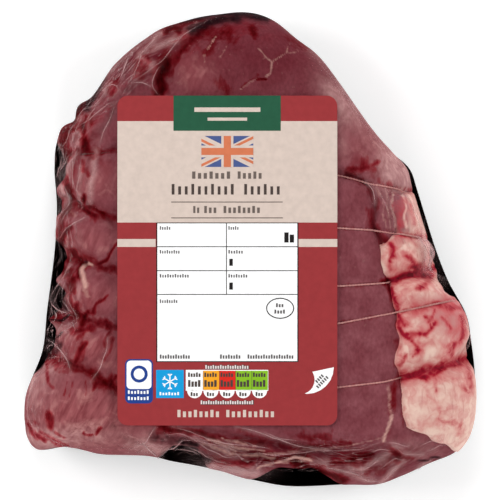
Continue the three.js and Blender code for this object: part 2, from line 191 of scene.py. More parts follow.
# Blood that lies in the meat's face, without relief: half-width, strength, and route.
STAINS = read_strokes(
    # the narrow end, and the upper left
    """1.5 0.7 -20,102 -24.5,97.5 -29,92.5 -33.5,87.5 -37.5,83.5; 1.4 0.8 -32.5,103.5 -28,104.5 -22.5,106;
    1.4 0.8 -39,100 -35.5,101 -32,99.5; 1.6 0.2 -35.5,95.5 -41,87.5; 1.8 0.6 -15,98 -17,94 -18.5,90;
    1.6 0.7 0,101 2,97; 2.2 0.4 18,96 26,93; 1.5 0.7 -64,86.5 -65.5,83.5; 1.6 0.6 -61,77.5 -62.5,72;
    1.4 0.6 -51,85.5 -52,80; 1.4 0.5 -47,87.5 -49,82 -50,78; 1.8 1 -78,66.5 -80.5,59;
    2.2 0.85 -82.5,55.5 -85.5,53.5 -86,49 -83.5,43.5; 1.3 0.7 -75,60 -76,53.5 -74.5,47.5;
    1.2 0.5 -72,62.5 -72.5,57.5""",
    # the lobes
    """1.6 0.9 -84.5,31 -83,25.5 -81.5,20.5; 1.2 0.6 -76,41 -76,36.5; 1.1 0.5 -74.5,37.5 -73.5,34;
    1.2 0.8 -84.5,32.5 -83,30; 1.1 0.8 -75.5,23.5 -74.3,18; 1.3 0.9 -75,19 -73,16.5 -70,15.5;
    2 0.8 -82,19.5 -84.5,16.5 -86.5,11 -87.5,4.5; 1.1 0.85 -82,11 -85,7 -87.3,0;
    1.6 0.85 -81,-0.5 -80,-3.5 -77,-5.5; 1 0.8 -77.5,-5.5 -78,-9 -77.5,-12.5;
    1.4 0.7 -82,-10 -80,-14.5 -81,-19; 1.4 0.7 -85.5,-6.5 -83.5,-11;
    1.8 0.7 -79.5,-24.5 -79.5,-27.5 -77.5,-31; 2 0.7 -80,-37 -76.5,-36 -72.5,-35.5;
    1.3 0.9 -74,-28 -75.5,-31 -76.5,-33.5; 1.4 0.8 -65,-32 -64.5,-35.5; 0.9 0.8 -74.5,-43 -77,-46 -80,-51.5;
    1.2 0.6 -75.5,-37 -77.5,-40; 1.1 0.6 -84,-52.5 -80,-54.5 -72.5,-55.5; 1 0.7 -69,-55.5 -70,-60 -71,-63.5;
    1.2 0.8 -63.5,-58 -62.5,-62; 0.7 0.7 -93.5,-51 -92.5,-56 -91.5,-60;
    0.7 0.4 -89,-52.5 -86.5,-55.5 -83.5,-55; 0.5 0.4 -80.5,-60 -82,-66.5; 0.5 0.4 -74.5,-60 -75.5,-65.5""",
    # beside and in the slab of fat
    """1.8 0.5 55,18 56,12.5 59,6.5 62.5,4; 1.6 0.35 55.5,33.5 59,31 63.5,30; 2 0.45 48,36.5 52,40 56,38;
    1 0.2 67.5,28 73.5,27.5 76.5,24.5; 1.4 0.35 70,22.5 69,14.5 68,9; 1.4 0.8 66.5,-28 68.5,-31 71,-34;
    1.2 0.3 73.5,20 75,12.5; 1.3 0.6 68,7.5 73.5,7 79,6.5 82,5; 1.8 0.75 64.5,2 65,-3.5 63.5,-8;
    1.3 0.7 72.5,-2.5 74.5,-6.5 78,-10.5; 2.2 0.9 74,-8 78,-10 82,-11.5; 2.2 0.7 84,-25 89,-25.5 96,-26;
    1.2 0.6 98.5,-51 100,-57 100.5,-62; 1.5 1 60,-15 64.5,-13.5 69,-12.7 73,-11.5 80,-11;
    1.6 0.8 64.5,-17 65.5,-22.5 67,-28; 1.2 0.5 67.5,-29 77.5,-27 86.5,-24.5 92,-23;
    1.3 0.75 78.5,-16 76.5,-18; 1 0.8 71.5,-38 75.5,-38.5 80,-38 84.5,-33.5;
    1.2 0.8 67.5,-32.5 70,-37.5 73,-40 76.5,-45 74.5,-49; 1 0.7 84.5,-28 83.5,-32.5;
    0.9 0.6 80,-30 82,-34.5 80,-37.5; 0.8 0.6 88,-31 91,-36.5; 1.3 0.35 67.5,-41 68.5,-46.5 68,-52.5;
    1 0.6 70.5,-48 68,-52; 1.8 0.85 69,-58.5 73.5,-58 81,-57 89,-54.2 96,-51; 0.8 0.5 85,-59 85,-63.5;
    1 0.5 84.5,-77 90,-79 93,-78.5; 0.9 0.4 96,-79.5 94.5,-83.5; 1.2 0.6 98,-63 99.5,-64.5;
    0.8 0.4 82,-67.5 84.5,-70.5 86,-74.5; 1.2 0.7 96.5,-31 97.5,-36.5 95.5,-41; 1.2 0.7 93.5,-42 92,-48;
    0.8 0.6 90,-44.5 92,-42; 1 0.3 68.5,-60 69.5,-70 71,-81; 1.2 0.45 65,-60 65.5,-66 66.5,-74;
    1.3 0.35 84,-58.5 90,-58 94,-59""",
    # the wide end
    """1.4 0.8 -41,-81 -32,-82 -22.5,-83 -13.5,-87.5; 1.4 0.55 -22,-83.5 -11.5,-85.5 -2,-87 5.5,-87.5;
    1.6 0.3 -4.5,-82.5 2.5,-85.5 12,-88 18,-91; 1.2 0.6 -7.5,-92.5 5.5,-93;
    1.6 0.75 -17.5,-95.5 -11.5,-97 -4.5,-97 0,-96; 1 0.8 5.5,-96.5 12,-94.5 18,-94 25.5,-94;
    1.8 0.5 23.5,-84 28.5,-86 35.5,-84.5; 1.3 0.75 38.5,-96.5 44.5,-95.5 50.5,-94.5 55.5,-93.5;
    1 0.5 62.5,-97 68,-95 74.5,-94.5; 1.7 0.9 20,-97 27,-99 35.5,-102 42,-105;
    1 0.45 46.5,-97.5 51,-97 55.5,-96; 1 0.45 52.5,-101.5 58,-100 62.5,-97.5; 1 0.4 57.5,-102 62,-99;
    1.4 0.7 64.5,-91 68,-93.5 67.5,-96.5; 1.2 0.5 22.5,-91 36.5,-89 45.5,-88""")

# Painted shade: nearly black where the joint lies deep, in its pockets and in the gaps down to the black
# base film: half-width, strength, and route.
PAINTED_SHADE = read_strokes("""
    2.8 1 -75,65 -71.5,72.5 -67.5,79.5; 2.8 1 -26,100.5 -17,104.5 -6,106;
    2.6 1 -30,106 -16,108 -2,108.5 8,106; 2.2 1 -87,1 -87.5,-4 -88,-9; 2.4 0.8 -90,-17 -87,-22 -84.5,-27;
    0.8 1 -92,-31.5 -86,-32 -82.5,-29.5; 0.7 0.9 -92.5,-39.5 -87.5,-40.5 -85.5,-38;
    2 0.6 -91,-41 -87,-44 -91,-49; 2.8 0.6 -44,-85 -36,-85.5 -29,-87; 1.5 1 -30,-87.5 -25,-88;
    2.6 1 -38,-94 -30,-95 -20,-95.5; 0.8 0.8 77,-95.5 81.5,-96; 0.8 0.8 83,-95 87.5,-95.5""")

# Painted sheen, where the film over the meat shines grey, laid into the meat's colour: half-width,
# strength, and route.
SHEENS = read_strokes("""
    2 0.5 -43,92.5 -37,95 -30,97.5 -23,103.5; 1.8 0.5 -41.5,99.5 -46,93 -50,87 -52,80;
    2 0.15 -70.5,72 -66.5,78.5 -60.5,85.5 -52.5,92 -41,100; 2 0.4 -66,73.5 -63.5,75.5 -61.5,72.5;
    1.6 0.6 -70,44.5 -72,29.5 -72.5,22; 1.1 0.4 -77,38 -78,26 -77.5,19.5;
    2.2 0.4 -74.5,59 -77.5,53.5 -78,49; 1.3 0.6 -82,41 -84.5,34 -84.5,31.5;
    1.7 0.75 -87,29 -85.5,25.5 -84.5,22.5; 1.2 0.5 -87.5,17 -88,11 -89,4.5; 1.4 0.8 -84,5 -84,-2;
    1.2 0.45 -85.5,-9.5 -87.5,-16.5 -90,-20.5; 2.6 0.4 -90,-35.5 -85.5,-36.5 -81,-36.5;
    2.6 0.5 -20.5,-98 -11.5,-99 -2.5,-101.5 3.5,-103; 1.2 0.6 -12.5,-97 -5.5,-97.5 1,-98.5;
    1.4 0.35 -24.5,-85.5 -17.5,-89 -9,-92 -2.5,-93; 3 0.8 -53,-89 -45,-90.5 -38,-91.5; 2 0.35 26,-96 34,-97;
    2 0.9 -40,-92 -34,-90.5 -29,-90; 2.2 0.5 -48,86 -43,81; 1.6 0.4 60,-96 67,-97; 1.4 0.3 -78,9 -77.5,4;
    1.5 0.4 -78,-17 -78.5,-22; 1.9 0.45 66,-89 70,-92.5 79,-93; 1.4 0.5 45,-99 53,-99 59.5,-95 63.5,-93;
    1.4 0.55 69.5,-96.5 66,-99.5 62,-103.5 59.5,-105.5; 1 0.5 75.5,-101.5 79,-97.5 82.5,-96.5;
    1.3 0.5 34,-98 41,-101 48,-103.5 55.5,-105; 3 0.25 72,-88 77.5,-89.5 86,-92;
    2.8 0.2 62.5,29 65,22.5 67,14.5 67.5,8""")

# White fat and sinew lying in the lean: half-width, strength from 0 to 1, and route.
SINEWS = read_strokes("""
    0.45 0.45 4,91 8,86.5 10.5,84.5 17,90.5 18.5,95; 0.45 0.35 17,90.5 22.5,91;
    0.6 0.45 10.5,84.5 10,81 7.5,79.5; 0.6 0.5 -15.5,96.5 -19,92; 0.8 0.3 -20.5,89.5 -20,85.5;
    0.65 0.3 -10.5,92.5 -13.5,87.5; 0.65 0.28 -4.5,72.5 3,78; 0.8 0.4 64,29 65.5,18 68,7;
    0.5 0.35 57.5,29 60,20 62.5,10; 0.6 0.35 61,29 62.5,20 65,9; 0.8 0.6 69,27 70.5,20 71,11;
    0.9 0.7 73.5,25 76.5,13.5 77.5,4.5 83,-10; 0.7 0.5 80,14 81.5,6; 0.7 0.45 62.5,-61 64,-70 65,-77;
    0.8 0.9 65,-75 63.5,-80 61,-87; 0.7 1 -74,-6 -72,-7;
    1.2 0.9 -75.7,-7.5 -76.5,-9.5 -75.4,-13 -74.5,-16.5; 1.3 0.4 -75,-18 -73.5,-21;
    1 0.7 71,3 74.5,-2 78,-7; 1.2 0.35 -84,21 -80,16; 0.8 0.85 4,-100 9,-97.5 14,-96 21,-95 28,-95.5;
    0.4 0.4 8,-99 16,-97 26,-96.5; 0.6 0.6 -17,-86.5 -8,-89 0,-91; 0.6 0.6 -22,-88 -6,-93 12,-94;
    0.8 0.6 -20,-85.5 -13,-88.5 -6,-91; 0.6 0.6 -18,-90 -9,-92.5 1,-93.5;
    0.5 0.5 -12,-85.5 -4,-87.5 4,-89.5; 0.5 0.6 -10,-88 -2,-90 7,-91.5;
    0.5 0.4 0,-93 22,-92 38,-91 51,-88 62,-84.5""")

# Where red veins run through the fat: middle, half-lengths, turn, and amount.
VEINED = read_rows("""
    80 -34 24 20 0 1.3; 84 -72 26 20 0 0.55; 70 0 14 14 0 0.8""")

# Broad tints of the meat by their colour: middle, half-lengths, turn, and amount.
TINTS = {
    "wine": read_rows("""
        2 90 66 26 -5 0.75; 20 -93 62 7 -3 1.3; -54 85 34 14 43 0.45; -33 97 14 5 45 0.4"""),
    "pale": read_rows("""
        -74 31 20 9 0 0.7; -73 4 18 9 0 0.7; -72 -22 18 9 0 0.7; -74 -44 20 9 -12 0.85; -76 -76 36 19 5 1;
        56 48 18 14 -40 0.5; -78 56 10 14 0 0.5; -26 81 10 9 0 0.5"""),
    "flush": read_rows("""
        -76 56 16 18 0 1; -84 24 7 14 0 1.1; -86 -1 7 10 0 1.1; -82 -22 9 12 0 1.1; -76 -42 14 6 0 0.5;
        -98 -72 8 16 0 0.25; 10 -93 60 9 -3 0.8; -20 98 30 9 10 0.6; 52 38 12 5 0 0.6; 66 12 8 16 15 0.4;
        -52 84 16 12 40 0.1; 65 -70 2 12 -5 1"""),
    "muscle": read_rows("""
        66 19 5.2 12 12 1.8; 64 27.5 7 2.5 -8 0.6"""),
    "rosy": read_rows("""
        72 18 12 14 0 0.5; 92 -34 10 12 0 0.5; 80 -28 16 8 0 0.5; 82 -57 16 5 12 0.6; 89 -26 7 6 0 0.8;
        96 -38 5 16 0 0.4"""),
    # painted sheen of the film where it shines, and greyish silverskin
    "silver": read_rows("""
        67 41 10 7 -42 0.9; 52 62 5 22 38 0.25; 30 92 3 20 45 0.45; 42 50 3 9 8 0.3; -94 -86 9 4 -10 0.95;
        -96 -60 7 8 0 0.45; 49 -101 7 3 -15 0.2; -90 -53 5 4 0 0.5; -100 -60 2.5 14 10 0.5;
        -8 -101 14 3 -8 0.3; 41 66 5 13 38 0.8; 69 34 8 9 -20 1.2; -76 -85 26 4.5 0 0.5"""),
}

# Folds of the clear film: half-width, how white they are from 0 to 1, and route.
FOLDS = read_strokes(
    # the narrow end
    """0.4 0.45 -14.5,107 -19.5,104.5 -24,101.5 -28,97.5 -32,94 -36,89.5 -42.5,83.5 -47,80 -51.5,76.5
      -56.5,71.5; 0.5 0.6 -40.5,84 -42.5,81.5 -44,77.5 -45,74.5 -43,72 -41.5,70;
    0.5 0.6 -53,75 -49.5,76.5 -46,75 -44.5,73.5;
    0.6 0.5 -52.5,74.5 -53.5,77.5 -50,86 -49.5,89.5 -44,95 -42.5,98.5;
    0.6 0.75 -58.5,78.5 -57.5,82.5 -55.5,88; 1.1 0.45 -42.5,93 -32,96 -29.5,97.5;
    0.6 0.5 -67.5,70 -66.5,74 -64,76 -61,75 -59.5,72;
    0.8 0.35 -70.5,72 -66.5,78.5 -60.5,85.5 -52.5,92 -45.5,96.5""",
    # the upper left
    """0.6 0.6 -61.5,67.5 -68.5,64 -73.5,59 -79,55.5;
    0.7 0.75 -66,71.5 -71.5,66 -76,63.5 -79.5,59 -84.5,49.5 -88,46;
    0.6 0.5 -62,65.5 -63.5,59.5 -66.5,54.5 -68.5,47.5; 0.6 0.6 -71.5,72.5 -74.5,65.5 -78,60.5;
    1.2 0.35 -70,44.5 -70.5,38 -72.5,29.5 -72.5,22; 0.7 0.4 -76.5,38 -77.5,32.5 -79,26.5 -78.5,19;
    0.8 0.75 -78,44.5 -82.5,38.5 -84.5,34.5 -84.5,31.5; 0.6 0.65 -81,44 -84.5,39.5 -87,33.5;
    0.7 0.7 -84.5,26.5 -83.5,23.5 -87,17 -88,11 -89,4.5; 0.7 0.6 -75,15.5 -80.5,12 -84.5,9 -87.5,4;
    0.6 0.5 -84,20 -85.5,15 -87,10.5; 0.4 0.6 -87,43.5 -88,37.5 -88.5,33;
    0.4 0.5 -84.5,46 -87,37.5 -89,36.5; 0.6 0.5 -66.5,71.5 -69,68.5 -72.5,62.5 -75.5,57.5 -77.5,52;
    0.6 0.55 -76.5,60 -79,55.5 -81,51 -84.5,45.5""",
    # the left, down to the heel
    """0.6 0.5 -80,-16 -82.5,-23 -79.5,-34; 0.6 0.55 -83.5,-5.5 -84.5,-11.5 -88.5,-17.5 -91.5,-22.5;
    0.6 0.75 -91.5,-22.5 -90,-27.5 -86.5,-28.5 -83.5,-27; 0.4 0.5 -91,-25 -88,-21 -85.5,-16.5;
    0.5 0.6 -85.5,-22.5 -83.5,-27 -82,-29.5; 0.6 0.6 -87.5,-34 -83.5,-32.5 -81,-34 -79.5,-36.5;
    0.4 0.5 -86.5,-37 -83.5,-35 -82,-32.5; 0.7 0.75 -92.5,-41 -89.5,-42 -86.5,-45.5 -83.5,-51 -82,-55.5;
    0.5 0.5 -94.5,-45 -92,-43 -89,-43.5; 0.4 0.5 -95,-49 -91,-48 -86.5,-48.5;
    0.5 0.75 -64.5,-39.5 -65.5,-46 -68.5,-54.5 -72.5,-60; 0.8 0.4 -97,-56 -100.5,-66 -101,-76 -97,-84;
    0.8 0.5 -94,-83.5 -88,-87 -82,-90""",
    # the wide end
    """0.7 0.75 -41.5,-95 -37.5,-91.5 -31.5,-87 -25,-86.5;
    0.6 0.8 -52,-91 -50,-89.5 -48,-89.5 -45.5,-93 -40,-96; 0.5 0.8 -50,-89 -46.5,-85 -42.5,-80.5;
    0.7 0.7 -24.5,-86 -17.5,-89 -9,-91.5 -2,-93; 0.6 0.6 -26.5,-87 -20.5,-90.5 -12.5,-93 -4.5,-94;
    0.6 0.7 -36,-80 -27,-82.5 -17.5,-86 -7.5,-88 6,-89.5;
    0.8 0.75 -6.5,-80 2,-82.5 8.5,-84.5 15,-87 22.5,-89.5 35.5,-91;
    0.5 0.45 -20.5,-93 -4.5,-93.5 18,-92.5 40,-91.5 50.5,-90.5 59.5,-87;
    0.5 0.5 -20.5,-84.5 -12.5,-89 -4.5,-91.5; 0.6 0.5 -40,-84.5 -32.5,-83 -26.5,-85 -20,-88.5 -14.5,-92.5;
    0.4 0.45 -4.5,-86.5 2.5,-89 10,-90.5; 0.4 0.4 5.5,-82.5 13.5,-85.5 22,-87;
    0.6 0.7 -29,-89.5 -22,-91.5 -16,-95 -9,-96.5; 0.4 0.55 -36,-92 -29,-91.5 -23,-93;
    0.3 0.5 -36,-93.5 -32.5,-92.5 -29,-94 -25,-93; 0.3 0.5 -34,-95.5 -30.5,-94.5 -27,-96 -22.5,-95;
    0.3 0.45 -30,-90.5 -26,-91 -23,-94 -20,-96.5; 0.6 0.6 62,-87.5 66.5,-87.5 72.5,-89;
    1 0.45 66,-89 70,-93 79,-93; 1 0.55 45,-99 53,-99 59.5,-95 63.5,-93;
    1 0.65 69.5,-96.5 66,-99.5 62,-103.5 59.5,-105.5; 0.8 0.55 50.5,-103 55.5,-105 61,-104;
    0.8 0.5 75.5,-101.5 79,-97.5 82.5,-96.5; 0.8 0.6 34,-98 41,-101 48,-103.5 55.5,-104.5;
    0.6 0.5 38.5,-99 46.5,-100.5 53.5,-102.5; 0.5 0.5 54.5,-92 59,-90.5 64.5,-91;
    0.7 0.5 57.5,-100 62,-97.5 67.5,-95.5 72,-95.5; 0.5 0.5 77.5,-89 82.5,-86.5 86.5,-85;
    0.5 0.45 81,-92 85.5,-89 89,-87.5""",
    # beside the slab of fat
    """0.9 0.9 53,31 56,28.5 57,25 57.5,21; 0.3 0.25 55.5,32 58.5,28.5 61,22.5 64.5,12.5;
    0.3 0.25 62,28 64,21 65.5,12.5 67,5.5; 0.4 0.35 70,24.5 72.5,16.5 76.5,9; 1.2 0.8 75.5,6 77.5,-2 82,-11;
    1.2 1 78,6 81,-2 84,-10; 0.4 0.6 74,8 78,0 82.5,-8; 0.4 0.6 80,4 83,-3 86,-9;
    0.4 0.6 76.5,6.5 79.5,-2 83.5,-11.5; 0.6 0.35 94.5,-31 98,-38.5 98,-46.5""")

# Veils of trapped air and moisture under the film, and in places a painted sheen where the film shines:
# middle, half-lengths, turn, amount.
VEILS = read_rows("""
    -86 24 2 6 0 0.2; 81 -2 2.5 9 20 0.35; 50 66 3 24 38 0.1; -10 -100 12 2 -10 0.25""")

# Where the film lies in fine wrinkles along the rim: middle, half-lengths, turn, amount.
WRINKLES = read_rows("""
    -58 80 8 26 -46 0.8; -84 40 7 22 0 1; -86 4 6 22 0 0.8; -88 -34 7 16 0 0.9; -99 -70 5 18 0 0.4;
    -30 -92 24 6 0 0.9; 30 -97 44 8 0 0.9; 24 -106 22 4 -2 -3; -30 -95 9 4 -5 -2.5""")

# ---- Light, floor and view

# Softboxes round the pack: name, place in metres, size in metres, and watts.
SOFTBOXES = [
    ("softbox_left", (-1.3, 0.25, 1.0), 0.9, 11),
    ("softbox_right", (1.3, 0.2, 1.0), 0.9, 8.5),
    ("softbox_back", (-0.1, 1.35, 1.1), 0.9, 10),
    ("softbox_front", (0.1, -1.35, 1.0), 0.9, 8.5),
]
FLOOR_SIZE = 12            # in metres
FLOOR_GLOW = 0.3           # the background paper is lit from below too
FLOOR_DROP = 0.3           # the paper lies this much below the pack's flat face
WALL_LIGHT = 0.82
CEILING_LIGHT = 0.12
WALL_ENDS = 0.1            # heights between which the one turns into the other
CEILING_STARTS = 0.85

VIEW_HEIGHT = 6            # of the camera, in metres
VIEW_WIDTH = 0.22727       # what it sees across, at the label
SENSOR_WIDTH = 36          # in millimetres, as is the lens
VIEW_END = 50

# ---- Nets of points

DIRECTIONS = 880           # columns of the meat's net
UNDER_LABEL_ROWS = 5
SHOWN_ROWS = 93
TUCK_ROWS = 9
FILM_DIRECTIONS = 640      # columns of the films' nets
FILM_SHOWN_ROWS = 66
LABEL_OVERLAP = 4          # how far the close rows reach in under the label
PROFILE_STEPS = 500
RAY_NUDGE = 0.01           # how far apart rays are compared for the outline's slope

# ---- The meat's surface and its blood

LOBE_EASE = 0.45           # how much of a groove's depth in the lobes the film follows
CHANNEL_DEPTH = 0.5        # of the twine's channel in the meat, below its wide groove
LOBE_CHANNEL = 0.6         # and how much deeper it is in the lobes
CHANNEL_SPREAD = 0.8
LOBE_CHANNEL_SPREAD = 0.6

# Uneven surfaces: half-height, size of the lumps, and seed.
MUSCLE_LUMPS = (0.25, 13, 1)
MUSCLE_GRAIN = (0.06, 4, 2)
LOBE_LUMPS = (0.7, 7, 12)
SLAB_LUMPS = (0.45, 9, 4)
SLAB_GRAIN = (0.08, 3, 5)
RIM_EVENNESS = 0.8         # the share of the muscle's lumps that goes at the rim
RIM_LOBE_LUMPS = 0.2       # the share of the lobes' lumps that stays there

STAIN_WIDTH = 1.4          # how far blood spreads past its strokes
STAIN_UNEVEN = (0.45, 3.5, 29)
HALO_WIDTH = 2.0           # and the pink round it
TWINE_BLOOD = 0.27         # how dark blood lies along the twine in the lean,
LOBE_BLOOD = 0.07          # more for each millimetre of its groove in the lobes
FAT_BLOOD = 0.12           # and in the fat,
MOST_FAT_BLOOD = 0.6       # up to this much,
TWINE_BLOOD_WIDTH = 0.9    # and how wide it lies
LOBE_BLOOD_WIDTH = 0.15
FAT_BLOOD_WIDTH = 0.2
LOBE_FLUSH = 0.18          # the red round the twine in the lobes
LOBE_FLUSH_WIDTH = 3.5

SLAB_DENTS = 0.3           # where blood lies in the fat it is dented
SLAB_SEAT = 1.2            # how deep the slab of fat sits in the lean,
SLAB_EDGE_SEAT = 2         # how much deeper at the rim,
SLAB_OVERLAP = 0.6         # how far its edge runs in below the lean's surface,
SLAB_SUNK_EDGE = 0.3       # and how far outside its outline
SLAB_SEAT_START = 1        # how far inside its outline it starts to sit deeper
SLAB_SEAT_FADE = 2

# ---- The twine

TWINE_SEAT = 0.55          # from the film's inside to the twine's middle
TWINE_SINK = 1.9           # and how much deeper it lies where its groove is deep
DEEP_LOOP = 5
TWINE_STEP = 0.6
TWINE_PITCH = 2.8          # length of one turn of the two strands
STRAND_OFFSET = 0.23
STRAND_RADIUS = 0.28
STRAND_SIDES = 6
PLAN_STEP = 0.05           # between the points of a loop's route before it is laid on
PLAN_SOFTENING = 60        # of them, to round its corners
LOOP_SOFTENING = 5
STRAND_LOBE_BLOOD = 0.36   # how dark the twine is, for each millimetre of its groove
STRAND_FAT_BLOOD = 0.15
STRAND_PATCHES = (1, 4, 11)

# ---- The films

SHEET_THICKNESS = 0.12     # the clear film
BASE_FILM_THICKNESS = 0.5
BASE_FILM_TUCK = 0.6       # how far its edge lies in under the clear one round the lobes,
BASE_FILM_LIP = 0.15       # how far the black film's edge stands out past the clear one
LIP_DIRECTION = 3          # where the middle of that lip is, in degrees
LIP_END = 0.83             # the cosine of how far round it goes to both sides
LIP_FADE = 0.1
BASE_FILM_ROWS = 14
STEEP_HEIGHT = 14          # the lower side, above the rim, where the wrinkles thin out
SINEW_HEIGHT = 30          # and where the sinews do
BLOOD_CLEARS = 0.85        # the share of the film's haze that blood under it takes away
# The painted shade takes away the film's haze by the same share as blood, over this much of its width.
DARK_CLEARS = 1.3
FOLD_RISE = 0.6            # of the whitest folds
FOLD_STRAY = (5, 16, 41)   # how far the fine wrinkles stray across their way, size and seed
FOLD_STEP = 0.5
FOLD_SIDES = 6
FOLD_THICKNESS = 0.24      # half of it
FOLD_TIP = 0.02
FOLD_TAPER = 0.6
FOLD_UNEVEN = (0.35, 3, 8)
FOLD_FLATNESS = 0.8
FOLD_SOFTENING = 5
FOLD_JITTER = (0.3, 5)     # its seed is another one for each fold
FOLD_SEED = 51
FOLD_LEAST = 0.4           # of a fold's whiteness, at its ends and over blood
FOLD_HAZE = 0.22           # round a fold, for each millimetre of its half-width
FOLD_HAZE_WIDTH = 0.9
FOLD_STRETCH = 0.13        # fine wrinkles run this much slower along the rim than across it

# ---- The label's inks and paper

INKS = {
    "brick_red": "#983336", "kraft_cream": "#D5C3B8", "bottle_green": "#24573F",
    "dark_brown": "#4A3F3B", "warm_grey": "#6B5F59", "slate_blue": "#4A5A8C", "orange": "#D07652",
    "black": "#1E1A1A", "white": "#FFFFFF", "grey": "#5E5A5A", "royal_blue": "#1F3F8C",
    "sky_blue": "#0F9CDA", "amber": "#F5A623", "signal_red": "#D8281E", "leaf_green": "#86BC25",
    "pale_red": "#E9DCDA",
}
INK_LAYER = 0.025          # each layer of print stands this much above the last
INK_LAYERS = 6
PAPER_THICKNESS = 0.2
LABEL_BEND_STEP = 5
LABEL_CORNER_STEPS = 8
CORNER_STEPS = 6
DISC_SIDES = 24
LETTER_WIDTH = 0.56        # the share of a letter's pitch that its block takes up
SHORT_LETTER = 0.78        # of the height of a tall one, which is every third
TALL_EVERY = 3


# ---- Helpers

def smooth(t):
    held = np.clip(t, 0, 1)
    return held * held * (3 - 2 * held)


def at_least(least, share):
    """A share from 0 to 1 as one from least to 1."""
    return least + (1 - least) * share


def bell(distance, spread):
    return np.exp(-((distance / spread) ** 2))


def distance_to_route(route, x, y):
    nearest = np.full(np.shape(x), np.inf)
    for (ax, ay), (bx, by) in zip(route, route[1:]):
        run_x, run_y = bx - ax, by - ay
        share = ((x - ax) * run_x + (y - ay) * run_y) / (run_x ** 2 + run_y ** 2)
        share = np.clip(share, 0, 1)
        nearest = np.minimum(nearest, np.hypot(x - ax - share * run_x, y - ay - share * run_y))
    return nearest


def depth_inside(border, x, y):
    """Distance to a closed border, positive inside it and negative outside."""
    closed = [*border, border[0]]
    inside = np.zeros(np.shape(x), bool)
    for (ax, ay), (bx, by) in zip(closed, closed[1:]):
        if ay != by:
            crossing = ax + (y - ay) / (by - ay) * (bx - ax)
            inside ^= ((ay > y) != (by > y)) & (x < crossing)
    distance = distance_to_route(closed, x, y)
    return np.where(inside, distance, -distance)


def ellipse_bell(middle_x, middle_y, half_length, half_width, turn, x, y):
    """1 in the middle of a turned ellipse, fading out past its half-lengths."""
    angle = math.radians(turn)
    dx, dy = x - middle_x, y - middle_y
    along = dx * math.cos(angle) + dy * math.sin(angle)
    across = dy * math.cos(angle) - dx * math.sin(angle)
    return bell(np.hypot(along / half_length, across / half_width), 1)


LATTICE = 48


def lumps(points, size, seed):
    """Smooth noise from -1 to 1, whose lumps are about size across."""
    lattice = np.random.default_rng(seed).uniform(-1, 1, (LATTICE,) * 3)
    cell = np.floor(points / size).astype(int)
    part = smooth(points / size - cell)
    total = np.zeros(points.shape[:-1])
    for corner in itertools.product((0, 1), repeat=3):
        weight = np.prod(np.where(corner, part, 1 - part), axis=-1)
        i, j, k = np.moveaxis((cell + corner) % LATTICE, -1, 0)
        total += weight * lattice[i, j, k]
    return total


def in_plan(x, y):
    """Places in plan as points, at no height."""
    return np.stack([x, y, np.zeros_like(x)], axis=-1)


def wander(x, y, reach, size, seed):
    """Places moved about at random, so that what follows a route runs unevenly."""
    places = in_plan(x, y)
    return x + reach * lumps(places, size, seed), y + reach * lumps(places, size, seed + 1)


def below_skin(points, half_height, size, seed):
    """How far the lumps of an uneven surface lie below its even skin."""
    return half_height * (1 - lumps(points, size, seed))


def uneven(points, share, size, seed):
    """Factors round 1, for what has no even width."""
    return 1 + share * lumps(points, size, seed)


def running_length(points):
    """The length of each line of points, up to each of them."""
    steps = np.linalg.norm(np.diff(points, axis=0), axis=-1)
    return np.concatenate([np.zeros((1, *steps.shape[1:])), np.cumsum(steps, axis=0)])


def from_middle(distance, angle):
    """Places at a distance from the middle, in a direction."""
    return MIDDLE[0] + distance * np.cos(angle), MIDDLE[1] + distance * np.sin(angle)


def seen_from_middle(x, y):
    """Distance and direction of places from the middle."""
    dx, dy = x - MIDDLE[0], y - MIDDLE[1]
    return np.hypot(dx, dy), np.arctan2(dy, dx)


def past_label(x, y):
    """How far places lie past the label's sides, and past its ends."""
    return np.abs(x - LABEL.x) - LABEL.width / 2, np.abs(y - LABEL.y) - LABEL.length / 2


def most_of(strokes, x, y, width=1):
    """The strongest of strokes, each a route, a half-width and a strength."""
    amount = np.zeros(np.shape(x))
    for route, spread, strength in strokes:
        away = distance_to_route(route, x, y)
        amount = np.maximum(amount, strength * bell(away, spread * width))
    return amount


def sum_of(patches, x, y):
    """Patches added up, each a turned ellipse and its amount."""
    return sum(amount * ellipse_bell(*place, x, y) for *place, amount in patches)


# ---- The plain rounded form, for rays from the middle

def outline_curve():
    """The outline as a smooth closed curve through its points, seen from the middle."""
    here = np.array(OUTLINE, float)
    before, after, beyond = (np.roll(here, shift, axis=0) for shift in (1, -1, -2))
    pairs = ((before, here), (here, after), (after, beyond))
    first, middle, last = (np.linalg.norm(b - a, axis=1, keepdims=True) ** 0.5 for a, b in pairs)
    step = (after - here) / middle
    leaving = ((here - before) / first - (after - before) / (first + middle) + step) * middle
    arriving = (step - (beyond - here) / (middle + last) + (beyond - after) / last) * middle
    stretches = []
    for t in np.linspace(0, 1, POINTS_PER_STRETCH, endpoint=False):
        ends = (2 * t ** 3 - 3 * t ** 2 + 1) * here + (3 * t ** 2 - 2 * t ** 3) * after
        pull = (t ** 3 - 2 * t ** 2 + t) * leaving + (t ** 3 - t ** 2) * arriving
        stretches.append(ends + pull)
    return np.stack(stretches, axis=1).reshape(-1, 2) - MIDDLE


outline = outline_curve()
bearings = np.unwrap(np.arctan2(outline[:, 1], outline[:, 0]))


def cross(a, b):
    return a[..., 0] * b[..., 1] - a[..., 1] * b[..., 0]


def reach_towards(angle):
    """How far the outline lies from the middle, with its swells."""
    turned = (angle - bearings[0]) % FULL_TURN + bearings[0]
    after = np.searchsorted(bearings, turned, side="right")
    start, end = outline[after - 1], outline[after % len(outline)]
    ray = np.stack([np.cos(angle), np.sin(angle)], axis=-1)
    reach = cross(start, end) / cross(ray, end - start)
    for degrees, half_width, swell in RIM_SWELLS:
        away = (np.degrees(angle) - degrees + 180) % 360 - 180
        reach = reach + swell * bell(away, half_width)
    return reach


